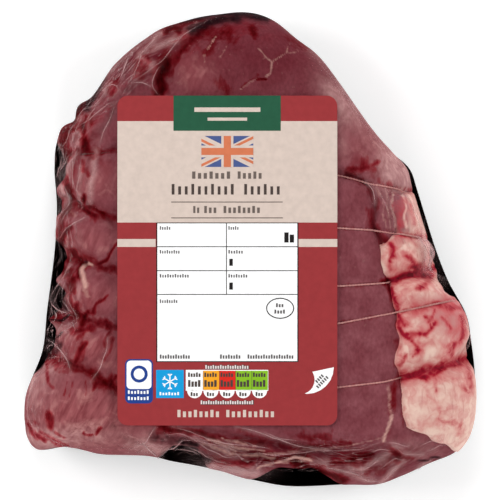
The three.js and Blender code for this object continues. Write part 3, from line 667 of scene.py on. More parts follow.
def rays_towards(angle):
    """Reach, outward normal and side settings of the outline, for an array of angles."""
    reach = reach_towards(angle)
    turn = (reach_towards(angle + RAY_NUDGE) - reach_towards(angle - RAY_NUDGE)) / (2 * RAY_NUDGE)
    normal = np.stack([
        reach * np.cos(angle) + turn * np.sin(angle),
        reach * np.sin(angle) - turn * np.cos(angle),
    ])
    normal /= np.linalg.norm(normal, axis=0)

    named, widths, squares = np.array(SIDES, float).T
    degrees = np.degrees(angle) % 360
    following = np.searchsorted(named, degrees, side="right") % len(SIDES)
    last = following - 1
    share = smooth((degrees - named[last]) % 360 / ((named[following] - named[last]) % 360))
    width = widths[last] + share * (widths[following] - widths[last])
    square = squares[last] + share * (squares[following] - squares[last])
    return SimpleNamespace(angle=angle, reach=reach, normal=normal, width=width, square=square,
                           flat=reach - width)


def crown_height(x, y):
    across = (x - LABEL.x) ** 2 / (2 * CROWN_RADIUS_ACROSS)
    along = (y - LABEL.y) ** 2 / (2 * CROWN_RADIUS_ALONG)
    return CROWN_HEIGHT - across - along


def plain_form(rays, t):
    """Points of the rounded form, with the direction square to it. t is 0 at the middle of
    the crown, 1 where the side starts to fall, and 2 at the rim."""
    fall = np.clip(t - 1, 0, 1) * math.pi / 2
    outward = np.sin(fall) ** (2 / rays.square)
    upward = np.clip(np.cos(fall), 0, 1) ** (2 / rays.square)
    distance = rays.flat * np.clip(t, 0, 1) + rays.width * outward
    x, y = from_middle(distance, rays.angle)
    drop = crown_height(x, y) - RIM_HEIGHT
    lean_out = outward ** (rays.square - 1) / rays.width
    lean_up = upward ** (rays.square - 1) / drop
    length = np.hypot(lean_out, lean_up)
    square_to = np.stack([
        rays.normal[0] * lean_out / length,
        rays.normal[1] * lean_out / length,
        lean_up / length,
    ], axis=-1)
    points = np.stack([x, y, RIM_HEIGHT + drop * upward], axis=-1)
    return SimpleNamespace(x=x, y=y, upward=upward, points=points, square_to=square_to)


def form_under(x, y):
    """The rounded form over places in plan, for what is laid on it."""
    distance, angle = seen_from_middle(x, y)
    rays = rays_towards(angle)
    outward = np.clip((distance - rays.flat) / rays.width, 0, 1)
    fall = np.arcsin(outward ** (rays.square / 2)) / (math.pi / 2)
    return plain_form(rays, np.where(distance < rays.flat, distance / rays.flat, 1 + fall))


def rows_of_form(rays, under_rows, shown_rows):
    """The net's rows from the middle to the rim: a few under the label, then close ones at
    even steps along the skin."""
    t = np.linspace(0, 2, PROFILE_STEPS)[:, None] * np.ones_like(rays.angle)
    profile = plain_form(rays, t)
    along = running_length(profile.points)
    covered = np.maximum(*past_label(profile.x, profile.y)) < -LABEL_OVERLAP
    label_edge = np.where(covered, along, 0).max(axis=0)
    inner = np.linspace(0, 1, under_rows, endpoint=False)[1:, None] * label_edge
    outer = label_edge + np.linspace(0, 1, shown_rows)[:, None] * (along[-1] - label_edge)
    wanted = np.concatenate([inner, outer])
    columns = range(wanted.shape[1])
    rows = np.stack([np.interp(wanted[:, c], along[:, c], t[:, c]) for c in columns], axis=1)
    return plain_form(rays, rows)


# ---- Relief that the film and the meat share

def clear_of_label(x, y):
    """0 under the label, where the film is pressed flat, and 1 away from it."""
    beyond = np.hypot(*np.maximum(past_label(x, y), 0))
    return smooth((beyond - LABEL_CLEARANCE) / LABEL_MARGIN)


def fat_depth(x, y):
    return depth_inside(FAT_SLAB, *wander(x, y, *SLAB_EDGE_STRAY))


def softness(x, y):
    """How far a place lies in the soft lobes, and in the fat slab."""
    return smooth((LOBE_EDGE - x) / LOBE_FADE), smooth(fat_depth(x, y) / FAT_FADE + 0.5)


def beside_lobes(x, y, in_lobes, reach, size, seed):
    """Places moved about as the creases between the lobes are."""
    return wander(x, y, reach * in_lobes, size, seed)


def twine_grooves(x, y):
    """How deep the skin is drawn in along the twine, as a height below 0."""
    in_lobes, in_fat = softness(x, y)
    in_soft = np.maximum(in_lobes, in_fat)
    spread = LEAN_GROOVE_SPREAD + in_soft * (DEEP_GROOVE_SPREAD - LEAN_GROOVE_SPREAD)
    grooves = np.zeros(np.shape(x))
    near_x, near_y = beside_lobes(x, y, in_lobes, *LOBE_STRAY)
    for route, lobe, fat in TWINE:
        deep = np.maximum(in_lobes * lobe * LOBE_EASE, in_fat * fat)
        grooves -= (LEAN_GROOVE + deep) * bell(distance_to_route(route, near_x, near_y), spread)
    return grooves


def skin_relief(skin, slab_step):
    """How far the clear film stands out from the rounded form. slab_step is the height of
    the fat slab's edge, and 0 gives the relief of the lean below the slab."""
    x, y = skin.x, skin.y
    sink = twine_grooves(x, y)
    rise = slab_step * smooth(fat_depth(x, y) / FAT_STEP_SPREAD)
    for route, height, spread in CREASES:
        crease = height * bell(distance_to_route(route, x, y), spread)
        rise = rise + np.maximum(crease, 0)
        sink = sink + np.minimum(crease, 0)
    for *place, height in SWELLS:
        swell = height * ellipse_bell(*place, x, y)
        rise = rise + np.maximum(swell, 0)
        sink = sink + np.minimum(swell, 0)
    sink = sink * smooth(skin.upward / SINK_FADE)
    return sink + rise * clear_of_label(x, y) * smooth(skin.upward / RISE_FADE)


def underside(rays, rows, inset, groove_share, drawn_in=0):
    """Rows from the rim in under the pack to its flat base, drawn in by an inset."""
    fall = np.linspace(0, math.pi / 2, rows)[:, None]
    outward = np.clip(np.cos(fall), 0, 1) ** (2 / TUCK_SQUARENESS)
    downward = np.sin(fall) ** (2 / TUCK_SQUARENESS)
    outside = rays.reach - TUCK_REACH + TUCK_REACH * outward
    grooves = twine_grooves(*from_middle(outside, rays.angle)) * groove_share * np.sin(2 * fall)
    distance = outside - (inset + drawn_in) * outward + grooves
    height = RIM_HEIGHT - (RIM_HEIGHT - inset) * downward * np.ones_like(distance)
    return np.stack([*from_middle(distance, rays.angle), height], axis=-1)


def stand_back(rays):
    """How far the meat stands back from the rim in the hollows, for each ray."""
    rim_x, rim_y = from_middle(rays.reach, rays.angle)
    depth = np.zeros_like(rays.reach)
    for x, y, half_length, amount in HOLLOWS:
        away = np.hypot(rim_x - x, rim_y - y)
        depth += amount * smooth(HOLLOW_REACH - away / half_length)
    return depth


def along_twine(x, y, in_lobes):
    """Places moved about as the twine's channels and the blood along them are."""
    return beside_lobes(*beside_lobes(x, y, in_lobes, *LOBE_STRAY), in_lobes, *LOBE_JITTER)


def twine_channel(x, y):
    """The narrow channel that each loop of twine presses into the meat."""
    in_lobes, _ = softness(x, y)
    near_x, near_y = along_twine(x, y, in_lobes)
    spread = CHANNEL_SPREAD + LOBE_CHANNEL_SPREAD * in_lobes
    channel = np.zeros(np.shape(x))
    for route, _, _ in TWINE:
        channel = np.maximum(channel, bell(distance_to_route(route, near_x, near_y), spread))
    return (CHANNEL_DEPTH + LOBE_CHANNEL * in_lobes) * channel


def from_rim(rows):
    """How far each point of a net lies in from its last row, along its column."""
    return running_length(rows[::-1])[::-1]


# ---- Meshes

def mesh_piece(name, points, faces, material):
    mesh = bpy.data.meshes.new(name)
    mesh.from_pydata((np.asarray(points) * MM).tolist(), [], faces)
    mesh.shade_smooth()
    piece = bpy.data.objects.new(name, mesh)
    bpy.context.scene.collection.objects.link(piece)
    mesh.materials.append(material)
    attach(piece, "root")
    return piece


def paint_mask(piece, name, values):
    """A material's mask from 0 to 1, with a value for each point of the piece."""
    attribute = piece.data.attributes.new(name, "FLOAT", "POINT")
    attribute.data.foreach_set("value", np.clip(values, 0, 1).astype(np.float32).ravel())


def ring_faces(count, columns):
    """Quads between rings of points, counter-clockwise seen from outside."""
    ring = np.arange(columns)
    following = (ring + 1) % columns
    quads = [
        np.stack([row + ring, row + columns + ring, row + columns + following, row + following], 1)
        for row in range(0, (count - 1) * columns, columns)
    ]
    return np.concatenate(quads).tolist()


def closed_net(rows, first, last):
    """A closed surface: rings of points from a first point to a last one."""
    count, columns = rows.shape[:2]
    points = np.concatenate([rows.reshape(-1, 3), [first, last]])
    end = count * columns
    faces = ring_faces(count, columns)
    for here in range(columns):
        following = (here + 1) % columns
        faces.append([end, here, following])
        faces.append([end - columns + here, end + 1, end - columns + following])
    return points, faces


def over_middle(height):
    return (MIDDLE[0], MIDDLE[1], height)


def patch_with_thickness(outer, inner, kept):
    """A closed slab from matching outer and inner grids of points, where kept says which
    quads it has."""
    count, columns = outer.shape[:2]
    quads = np.array(ring_faces(count, columns))[kept.ravel()]
    total = count * columns
    starts, ends = (corners.T.ravel().tolist() for corners in (quads, np.roll(quads, -1, axis=1)))
    edges = dict.fromkeys(zip(starts, ends))
    walls = [[b, a, a + total, b + total] for a, b in edges if (b, a) not in edges]
    faces = np.concatenate([quads, quads[:, ::-1] + total]).tolist() + walls
    points = np.concatenate([outer.reshape(-1, 3), inner.reshape(-1, 3)])
    used = np.unique(np.array(faces))
    renumbered = np.full(2 * total, -1)
    renumbered[used] = np.arange(len(used))
    return points[used], renumbered[np.array(faces)].tolist()


# ---- Materials

def paint(hex_colour):
    """An sRGB hex colour as linear RGBA."""
    channels = [int(hex_colour[i:i + 2], 16) / 255 for i in (1, 3, 5)]
    linear = [c / 12.92 if c <= 0.04045 else ((c + 0.055) / 1.055) ** 2.4 for c in channels]
    return (*linear, 1)


def per_metre(millimetres):
    """A noise texture's scale for features of that size."""
    return 1 / (millimetres * MM)


def set_stops(ramp, stops):
    """Gives a colour ramp its stops: position and colour."""
    elements = ramp.color_ramp.elements
    while len(elements) < len(stops):
        elements.new(0.5)
    for element, (position, colour) in zip(elements, stops):
        element.position = position
        element.color = paint(colour) if isinstance(colour, str) else colour


def add_node(tree, kind, stops=(), **settings):
    """A shader node with its settings, and its ramp's stops. A setting with a capital letter
    is an input: a value, a hex colour, a mask's name, a socket, a node whose first output it
    takes, or a list of these where inputs share one name."""
    node = tree.nodes.new("ShaderNode" + kind)
    if stops:
        set_stops(node, stops)
    for name, value in settings.items():
        if name.islower():
            setattr(node, name, value)
    for name, value in settings.items():
        sockets = [s for s in node.inputs if s.name == name.replace("_", " ") and s.enabled]
        for socket, source in zip(sockets, value if isinstance(value, list) else [value]):
            if isinstance(source, str) and source.startswith("#"):
                source = paint(source)
            elif isinstance(source, str):
                source = add_node(tree, "Attribute", attribute_name=source).outputs["Fac"]
            elif isinstance(source, bpy.types.Node):
                source = next(s for s in source.outputs if s.enabled)
            if isinstance(source, bpy.types.NodeSocket):
                tree.links.new(source, socket)
            else:
                socket.default_value = source
    return node


def new_material(name):
    """An empty material, its tree, and the place on the piece that its textures take."""
    material = bpy.data.materials.new(name)
    material.use_nodes = True
    tree = material.node_tree
    tree.nodes.clear()
    place = add_node(tree, "TexCoord").outputs["Object"]
    return material, tree, place


def finish_material(tree, **shader_inputs):
    shader = add_node(tree, "BsdfPrincipled", **shader_inputs)
    add_node(tree, "OutputMaterial", Surface=shader)


def grey(level):
    return (level, level, level, 1)


BLACK = grey(0)
WHITE = grey(1)


def layered(tree, colour, *layers):
    """Colours laid over the first one. Each has the mask or texture that says where it lies,
    and its strength where it is a thin one."""
    for amount, above, *strength in layers:
        if strength:
            amount = add_node(tree, "Math", Value=[amount, *strength], operation="MULTIPLY")
        colour = add_node(tree, "Mix", Factor=amount, A=colour, B=above, data_type="RGBA")
    return colour


def within(tree, mask, texture, *stops):
    """A texture's ramp, inside a mask alone."""
    ramp = add_node(tree, "ValToRGB", stops, Fac=texture)
    return add_node(tree, "Math", Value=[ramp, mask], operation="MULTIPLY")


def ragged(tree, mask, texture):
    """A mask with its soft edge broken up by a texture."""
    mixed = add_node(tree, "Mix", Factor=0.45, A=mask, B=texture, data_type="FLOAT")
    return add_node(tree, "ValToRGB", [
        (0.3, BLACK), (0.45, grey(0.35)), (0.62, grey(0.8)), (0.78, WHITE)], Fac=mixed)


def bloodied(tree, colour, amount):
    """Meat with blood in it: crimson where it lies thin, nearly black where it lies deep."""
    tone = add_node(tree, "ValToRGB", [
        (0.05, WHITE), (0.3, (0.84, 0.4, 0.44, 1)), (0.6, (0.66, 0.13, 0.18, 1)),
        (0.85, (0.4, 0.035, 0.06, 1)), (1.0, (0.2, 0.012, 0.025, 1))], Fac=amount)
    return add_node(tree, "Mix", Factor=1.0, A=colour, B=tone, data_type="RGBA",
                    blend_type="MULTIPLY")


def wrinkle_lines(tree, size, width):
    """The film's fine wrinkles: thin uneven lines where a stretched noise crosses its middle."""
    place = add_node(tree, "Attribute", attribute_name="fold_place").outputs["Vector"]
    waves = add_node(tree, "TexNoise", Vector=place, Scale=per_metre(size), Detail=3, Distortion=0.5)
    return within(tree, "wrinkled", waves, (0.5 - width, BLACK), (0.5, WHITE), (0.5 + width, BLACK))


def raw_beef():
    # Raw beef under a clinging film: dark red muscle with a close grain, wet and satin. The film's sheen
    # and the shade of creases and deep places are painted into its colour.
    material, tree, place = new_material("raw_beef")
    broad = add_node(tree, "TexNoise", Vector=place, Scale=per_metre(9), Detail=5)
    patchy = add_node(tree, "ValToRGB", [(0.38, BLACK), (0.66, WHITE)], Fac=broad)
    cloud = add_node(tree, "TexNoise", Vector=place, Scale=per_metre(7), Detail=5, Distortion=0.8)
    bloom = within(tree, "pale", cloud, (0.3, grey(0.8)), (0.48, BLACK))
    flush = within(tree, "flush", cloud, (0.46, BLACK), (0.66, WHITE))
    # Painted sheen of the film where it shines, and silverskin: greyish pink.
    silver = within(tree, "silver", cloud, (0.3, WHITE), (0.7, grey(0.35)))
    # The film's fine wrinkles: pale lines painted into the meat as their highlights, and bumps.
    wrinkles = wrinkle_lines(tree, 2.6, 0.035)
    colour = layered(
        tree, paint("#753A41"), (patchy, "#844950"), ("wine", "#5A1A23"), ("pale", "#8C4B4F"),
        (bloom, "#AC7270"), (flush, "#6C0E18"), (silver, "#C09391"), (wrinkles, "#BF9392", 0.3))

    drawn = add_node(tree, "Mapping", Vector=place, Scale=(1, 0.4, 1))
    smears = add_node(tree, "TexNoise", Vector=drawn, Scale=per_metre(2), Detail=5)
    colour = bloodied(tree, colour, ragged(tree, "blood", smears))
    specks = add_node(tree, "TexNoise", Vector=place, Scale=per_metre(2.2), Detail=4)
    slant = add_node(tree, "Mapping", Vector=place, Rotation=(0, 0, 1.15), Scale=(5, 1, 1),
                     vector_type="TEXTURE")
    long_waves = add_node(tree, "TexNoise", Vector=slant, Scale=per_metre(5), Detail=3, Distortion=0.4)
    # Painted shade of fine creases in the lobes: thin dark red lines, with no relief under them.
    creases = within(tree, "pale", long_waves, (0.47, BLACK), (0.5, WHITE), (0.53, BLACK))
    # Painted shade, nearly black, where the joint lies deep; then the sinews and the painted crease shade.
    colour = layered(
        tree, colour, (ragged(tree, "dark", specks), "#1A060A"),
        (ragged(tree, "fat", specks), "#C3958B"), (creases, "#6A2028", 0.3))

    grain_way = add_node(tree, "Mapping", Vector=place, Rotation=(0, 0, 0.12), Scale=(1, 0.6, 1))
    grain = add_node(tree, "TexNoise", Vector=grain_way, Scale=per_metre(1.3), Detail=4)
    grain_tone = add_node(tree, "ValToRGB", [
        (0.3, (0.86, 0.82, 0.82, 1)), (0.7, (1.12, 1.16, 1.16, 1))], Fac=grain)
    fibres = add_node(tree, "TexNoise", Vector=slant, Scale=per_metre(2), Detail=4)
    fibre_tone = add_node(tree, "ValToRGB", [
        (0.34, (0.8, 0.68, 0.7, 1)), (0.66, (1.26, 1.36, 1.32, 1))], Fac=fibres)
    tone = add_node(tree, "Mix", Factor="pale", A=grain_tone, B=fibre_tone, data_type="RGBA")
    colour = add_node(tree, "Mix", Factor=1.0, A=colour, B=tone, data_type="RGBA",
                      blend_type="MULTIPLY")
    fine = add_node(tree, "Bump", Height=grain, Strength=0.25, Distance=0.25 * MM)
    folds = add_node(tree, "Bump", Height=wrinkles, Strength=0.6, Distance=0.4 * MM, Normal=fine)
    finish_material(tree, Base_Color=colour, Roughness=0.6, Specular_IOR_Level=0.005, Normal=folds)
    return material


def basting_fat():
    # A slab of firm beef fat, cream-pink with red veins and blood along the twine.
    material, tree, place = new_material("basting_fat")
    broad = add_node(tree, "TexNoise", Vector=place, Scale=per_metre(7), Detail=4)
    dapple = add_node(tree, "TexNoise", Vector=place, Scale=per_metre(5), Detail=6, Distortion=0.8)
    blush = add_node(tree, "ValToRGB", [
        (0.48, BLACK), (0.6, grey(0.5)), (0.74, grey(0.85))], Fac=dapple)
    pulled = add_node(tree, "Mapping", Vector=place, Rotation=(0, 0, 1.75), Scale=(4, 1, 1),
                      vector_type="TEXTURE")
    fibres = add_node(tree, "TexNoise", Vector=pulled, Scale=per_metre(2.6), Detail=4, Distortion=0.5)
    fibre_lines = add_node(tree, "ValToRGB", [(0.55, BLACK), (0.78, grey(0.6))], Fac=fibres)
    muscle = ragged(tree, "muscle", fibres)

    drift = add_node(tree, "TexNoise", Vector=place, Scale=per_metre(8), Detail=4)
    warp = add_node(tree, "Mix", Factor=0.006, A=place, B=drift.outputs["Color"], data_type="VECTOR")
    globules = add_node(tree, "TexVoronoi", Vector=warp, Scale=per_metre(7), Smoothness=0.5,
                        feature="SMOOTH_F1")
    between = within(tree, "vein", globules, (0.25, BLACK), (0.5, grey(0.7)), (0.7, WHITE))
    cloud = add_node(tree, "TexNoise", Vector=place, Scale=per_metre(6), Detail=4, Distortion=0.6)
    here_and_there = add_node(tree, "ValToRGB", [(0.35, grey(0.15)), (0.6, WHITE)], Fac=cloud)
    veins = add_node(tree, "Math", Value=[between, here_and_there], operation="MULTIPLY")
    flush = within(tree, "flush", cloud, (0.35, BLACK), (0.65, WHITE))
    halo = within(tree, "halo", cloud, (0.3, grey(0.25)), (0.6, WHITE))
    specks = add_node(tree, "TexNoise", Vector=place, Scale=per_metre(2.6), Detail=4)

    mottle = add_node(tree, "TexNoise", Vector=place, Scale=per_metre(4), Detail=5, Distortion=1)
    blood = add_node(tree, "Mix", Factor=0.5, A="blood", B=mottle, data_type="FLOAT")
    cover = add_node(tree, "ValToRGB", [(0.27, BLACK), (0.45, grey(0.5)), (0.62, WHITE)], Fac=blood)
    crimson = add_node(tree, "ValToRGB", [
        (0.35, "#C4545A"), (0.52, "#B02C38"), (0.65, "#96162A"), (0.78, "#5C0614")], Fac=blood)
    colour = layered(
        tree, paint("#E8CBBB"), (broad, "#DCB8AA"), (blush, "#CF938C"), ("rosy", "#BE807D"),
        (fibre_lines, "#BD7473"), (muscle, "#7F4A51"), (veins, "#BC5558", 0.8),
        (flush, "#A63840"), (ragged(tree, "fat", specks), "#E9C6B8"), (halo, "#C05055", 0.5),
        (cover, crimson))
    pillows = add_node(tree, "Bump", Height=globules, Strength=0.5, Distance=-0.9 * MM)
    fine = add_node(tree, "Bump", Height=specks, Strength=0.3, Distance=0.4 * MM, Normal=pillows)
    finish_material(tree, Base_Color=colour, Roughness=0.5, Specular_IOR_Level=0.05, Normal=fine)
    return material


def cotton_twine():
    # Butcher's cotton twine, pink with meat juice, and dark where it lies in blood.
    material, tree, place = new_material("cotton_twine")
    fuzz = add_node(tree, "TexNoise", Vector=place, Scale=per_metre(1.3), Detail=3)
    colour = layered(tree, paint("#A04C53"), (fuzz, "#DEACA3"), ("blood", "#4A0D15"))
    finish_material(tree, Base_Color=colour, Roughness=0.6, Specular_IOR_Level=0.15)
    return material


def clear_barrier_film():
    # Clear shrink film: invisible where it clings, whitish at folds and trapped moisture, and with a
    # painted whitish sheen in places.
    material, tree, place = new_material("clear_barrier_film")
    mottle = add_node(tree, "TexNoise", Vector=place, Scale=per_metre(3.5), Detail=4, Distortion=0.6)
    haze = within(tree, "haze", mottle, (0.3, grey(0.4)), (0.7, WHITE))
    lines = add_node(tree, "Math", Value=[wrinkle_lines(tree, 3.4, 0.012), 0.65], operation="MULTIPLY")
    alpha = add_node(tree, "Math", Value=[haze, lines], operation="MAXIMUM")
    finish_material(tree, Base_Color="#CFA5A5", Roughness=0.35, Alpha=alpha, Specular_IOR_Level=0.2)
    return material


def black_barrier_film():
    # Black printed base film, glossy, with fine creases.
    material, tree, place = new_material("black_barrier_film")
    creases = add_node(tree, "TexNoise", Vector=place, Scale=per_metre(4), Detail=4, Distortion=1.2)
    colour = layered(tree, paint("#040203"), (creases, "#140A0D"))
    relief = add_node(tree, "Bump", Height=creases, Strength=0.5, Distance=0.6 * MM)
    finish_material(tree, Base_Color=colour, Roughness=0.4, Specular_IOR_Level=0.05, Normal=relief)
    return material


def printed_ink(name, hex_colour):
    # Ink on coated label paper: matt, with the slight mottle of the pulp in it.
    material, tree, place = new_material(name)
    pulp = add_node(tree, "TexNoise", Vector=place, Scale=per_metre(3), Detail=6)
    tone = add_node(tree, "ValToRGB", [(0.3, grey(0.94)), (0.7, grey(1.05))], Fac=pulp)
    colour = add_node(tree, "Mix", Factor=1.0, A=hex_colour, B=tone, data_type="RGBA",
                      blend_type="MULTIPLY")
    finish_material(tree, Base_Color=colour, Roughness=0.7, Specular_IOR_Level=0.15)
    return material


def studio_floor():
    # Seamless white background paper.
    material, tree, place = new_material("white_background_paper")
    pulp = add_node(tree, "TexNoise", Vector=place, Scale=per_metre(8), Detail=4)
    colour = layered(tree, paint("#F8F8F8"), (pulp, "#FDFDFD"))
    finish_material(tree, Base_Color=colour, Roughness=0.9, Specular_IOR_Level=0.1,
                    Emission_Color=WHITE, Emission_Strength=FLOOR_GLOW)
    return material


# ---- The meat: its lean, and the slab of basting fat on its side

meat_rays = rays_towards(np.linspace(0, FULL_TURN, DIRECTIONS, endpoint=False))
form = rows_of_form(meat_rays, UNDER_LABEL_ROWS, SHOWN_ROWS)
pressed_in = stand_back(meat_rays) * smooth((1 - form.upward) / HOLLOW_FADE)
pressed_in = pressed_in + twine_channel(form.x, form.y) + FILM_GAP
depth_in_slab = fat_depth(form.x, form.y)
near_rim = 1 - smooth(form.upward / RISE_FADE)


def raised(skin, height):
    """Points at a height above the rounded form, square to it."""
    return skin.points + skin.square_to * height[..., None]


def lobe_lumps(skin):
    """How far the lobes' lumps lie below the even skin. Film and twine follow them."""
    in_lobes, _ = softness(skin.x, skin.y)
    staying = at_least(RIM_LOBE_LUMPS, smooth(skin.upward / RISE_FADE))
    return below_skin(skin.points, *LOBE_LUMPS) * in_lobes * staying


lean_skin = skin_relief(form, 0) - pressed_in
seating = smooth((depth_in_slab - SLAB_SEAT_START) / SLAB_SEAT_FADE)
slab_seat = (SLAB_SEAT + SLAB_EDGE_SEAT * near_rim) * seating
muscle = below_skin(form.points, *MUSCLE_LUMPS) + below_skin(form.points, *MUSCLE_GRAIN)
muscle = muscle * (1 - RIM_EVENNESS * near_rim) + lobe_lumps(form)
furrow_strokes = [(route, spread, depth) for route, depth, spread, _ in FURROWS]
furrows = most_of(furrow_strokes, *wander(form.x, form.y, *FURROW_STRAY))
lean_height = lean_skin - furrows - slab_seat - muscle


def paint_fold_places(piece, points, rim_distance):
    """Coordinates in which the film's fine wrinkles run along the rim, and slowly."""
    reach, size, seed = FOLD_STRAY
    across = rim_distance + reach * lumps(points, size, seed)
    places = np.concatenate([points[:, :2] * FOLD_STRETCH, across[:, None]], axis=1)
    attribute = piece.data.attributes.new("fold_place", "FLOAT_VECTOR", "POINT")
    attribute.data.foreach_set("vector", (places * MM).astype(np.float32).ravel())


def wrinkled(points):
    x, y, z = points.T
    return sum_of(WRINKLES, x, y) * smooth((z - RIM_HEIGHT) / STEEP_HEIGHT)


def stain_width(x, y):
    """How far blood spreads past its strokes, unevenly."""
    return STAIN_WIDTH * uneven(in_plan(x, y), *STAIN_UNEVEN)


def blood_under(x, y):
    in_furrows = [(route, spread, stain) for route, _, spread, stain in FURROWS]
    return most_of(STAINS + in_furrows, *wander(x, y, *BLOOD_STRAY), stain_width(x, y))


def film_clearness(x, y):
    """How little of the film's haze shows: it lies wet and clear over blood, and over the painted shade."""
    return 1 - BLOOD_CLEARS * np.maximum(blood_under(x, y), most_of(PAINTED_SHADE, x, y, DARK_CLEARS))


def paint_meat(piece, points):
    """The masks that the lean and the fat share."""
    x, y, z = points.T
    near = wander(x, y, *BLOOD_STRAY)
    in_lobes, in_fat = softness(x, y)
    line_x, line_y = along_twine(x, y, in_lobes)
    spread = stain_width(x, y)
    masks = {name: sum_of(patches, x, y) for name, patches in TINTS.items()}
    masks["blood"] = blood_under(x, y)
    for route, lobe, fat in TWINE:
        away = distance_to_route(route, line_x, line_y)
        fat_blood = min(MOST_FAT_BLOOD, FAT_BLOOD * fat)
        along_it = TWINE_BLOOD + LOBE_BLOOD * lobe * in_lobes + fat_blood * in_fat
        width = TWINE_BLOOD_WIDTH + LOBE_BLOOD_WIDTH * lobe * in_lobes + FAT_BLOOD_WIDTH * fat * in_fat
        masks["blood"] = np.maximum(masks["blood"], along_it * bell(away, width * spread))
        masks["flush"] += LOBE_FLUSH * lobe * in_lobes * bell(away, LOBE_FLUSH_WIDTH)
    # the painted sheen of the film, where it shines grey
    masks["silver"] += most_of(SHEENS, *near)
    masks["halo"] = most_of(STAINS, *near, HALO_WIDTH * spread)
    # painted shade, where the joint lies deep
    masks["dark"] = most_of(PAINTED_SHADE, *near)
    masks["fat"] = most_of(SINEWS, *near) * smooth((z - RIM_HEIGHT) / SINEW_HEIGHT)
    masks["wrinkled"] = wrinkled(points)
    for name, values in masks.items():
        paint_mask(piece, name, values)


def lean_joint():
    top = raised(form, lean_height)
    top[..., 2] = np.maximum(top[..., 2], RIM_HEIGHT)
    tuck = underside(meat_rays, TUCK_ROWS, BASE_INSET, TUCK_GROOVE_MEAT, stand_back(meat_rays))[1:]
    rows = np.concatenate([top, tuck])
    first = over_middle(crown_height(*MIDDLE) - FILM_GAP - MUSCLE_LUMPS[0])
    points, faces = closed_net(rows, first, over_middle(BASE_INSET))
    piece = mesh_piece("lean_joint", points, faces, raw_beef())
    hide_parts("sealed_joint")
    paint_meat(piece, points)
    rim_distance = np.concatenate([from_rim(rows).ravel(), [0, 0]])
    paint_fold_places(piece, points, rim_distance)


def slab_of_fat():
    full_skin = skin_relief(form, FAT_STEP) - pressed_in
    pillows = below_skin(form.points, *SLAB_LUMPS) + below_skin(form.points, *SLAB_GRAIN)
    dents = SLAB_DENTS * most_of(STAINS, *wander(form.x, form.y, *DENT_STRAY))
    edge = smooth((depth_in_slab + SLAB_SUNK_EDGE) / FAT_STEP_SPREAD)
    height = full_skin - (1 - near_rim) * (pillows + dents) - SLAB_OVERLAP * (1 - edge)
    outer = raised(form, height)
    inner = raised(form, lean_skin - SLAB_OVERLAP - SLAB_EDGE_SEAT * near_rim)
    following = np.roll(depth_in_slab, -1, axis=1)
    kept = (depth_in_slab + following)[:-1] / 2 > -SLAB_SUNK_EDGE
    points, faces = patch_with_thickness(outer, inner, kept)
    piece = mesh_piece("basting_fat_slab", points, faces, basting_fat())
    paint_meat(piece, points)
    paint_mask(piece, "vein", sum_of(VEINED, *points.T[:2]))


# ---- Twine

def evenly(points, step, closed=False):
    """The same line with points at even steps."""
    if closed:
        points = np.concatenate([points, points[:1]])
    along = running_length(points)
    count = max(int(round(along[-1] / step)), 2)
    wanted = np.linspace(0, along[-1], count, endpoint=not closed)
    return np.stack([np.interp(wanted, along, axis) for axis in points.T], axis=1)


def softened(points, reach, closed):
    """The same line with its corners rounded by a moving average."""
    padded = np.pad(points, ((reach, reach), (0, 0)), mode="wrap" if closed else "edge")
    window = np.hanning(2 * reach + 3)[1:-1]
    window /= window.sum()
    return np.stack([np.convolve(axis, window, mode="valid") for axis in padded.T], axis=1)


def twine_line(route, lobe, fat):
    """The loop's centre line: over the top in its channel, then back under the joint."""
    plan = softened(evenly(np.array(route), PLAN_STEP), PLAN_SOFTENING, closed=False)
    distance, angle = seen_from_middle(*plan.T)
    inside = distance < reach_towards(angle)
    x, y = plan[inside].T
    distance, angle = distance[inside], angle[inside]
    over = form_under(x, y)
    rim_rays = rays_towards(angle)
    back_here = stand_back(rim_rays) * smooth((1 - over.upward) / HOLLOW_FADE)
    in_lobes, in_fat = softness(x, y)
    sunk = in_lobes * lobe / DEEP_LOOP + in_fat * (fat / DEEP_LOOP) ** 2
    depth = FILM_GAP + TWINE_SEAT + TWINE_SINK * sunk + back_here
    top = raised(over, skin_relief(over, FAT_STEP) - lobe_lumps(over) - depth)

    outward = np.clip((distance - rim_rays.reach + TUCK_REACH) / TUCK_REACH, 0, 1)
    downward = (1 - outward ** TUCK_SQUARENESS) ** (1 / TUCK_SQUARENESS)
    turn = np.sin(2 * np.arccos(outward ** (TUCK_SQUARENESS / 2)))
    inset = BASE_INSET + TWINE_SEAT
    drawn = distance - (inset + stand_back(rim_rays)) * outward
    drawn += twine_grooves(x, y) * TUCK_GROOVE_FILM * turn
    height = RIM_HEIGHT - (RIM_HEIGHT - inset) * downward
    below = np.stack([*from_middle(drawn, angle), height], axis=1)
    loop = evenly(np.concatenate([top, below[::-1]]), TWINE_STEP, closed=True)
    return softened(loop, LOOP_SOFTENING, closed=True)


def across_line(line, closed):
    """Directions square to a line: to its side and up."""
    if closed:
        ahead, behind = np.roll(line, -1, axis=0), np.roll(line, 1, axis=0)
        aside = (0, 1, 0)
    else:
        ahead = np.concatenate([line[1:], line[-1:]])
        behind = np.concatenate([line[:1], line[:-1]])
        aside = (0, 0, -1)
    along = ahead - behind
    along /= np.linalg.norm(along, axis=1, keepdims=True)
    side = np.cross(along, aside)
    side /= np.linalg.norm(side, axis=1, keepdims=True)
    return side, np.cross(side, along)


def rings_round(line, radius, side, up, sides):
    """A ring of points round each point of a line."""
    round_it = np.linspace(0, FULL_TURN, sides, endpoint=False)
    rings = [line + radius * (math.cos(a) * side + math.sin(a) * up) for a in round_it]
    return np.stack(rings, axis=1)


def strand(line, phase):
    """Rings of points round one strand that winds about a closed line."""
    side, up = across_line(line, closed=True)
    turns = round(len(line) * TWINE_STEP / TWINE_PITCH)
    wind = phase + np.linspace(0, FULL_TURN * turns, len(line), endpoint=False)
    centre = line + STRAND_OFFSET * (np.cos(wind)[:, None] * side + np.sin(wind)[:, None] * up)
    return rings_round(centre, STRAND_RADIUS, side, up, STRAND_SIDES)


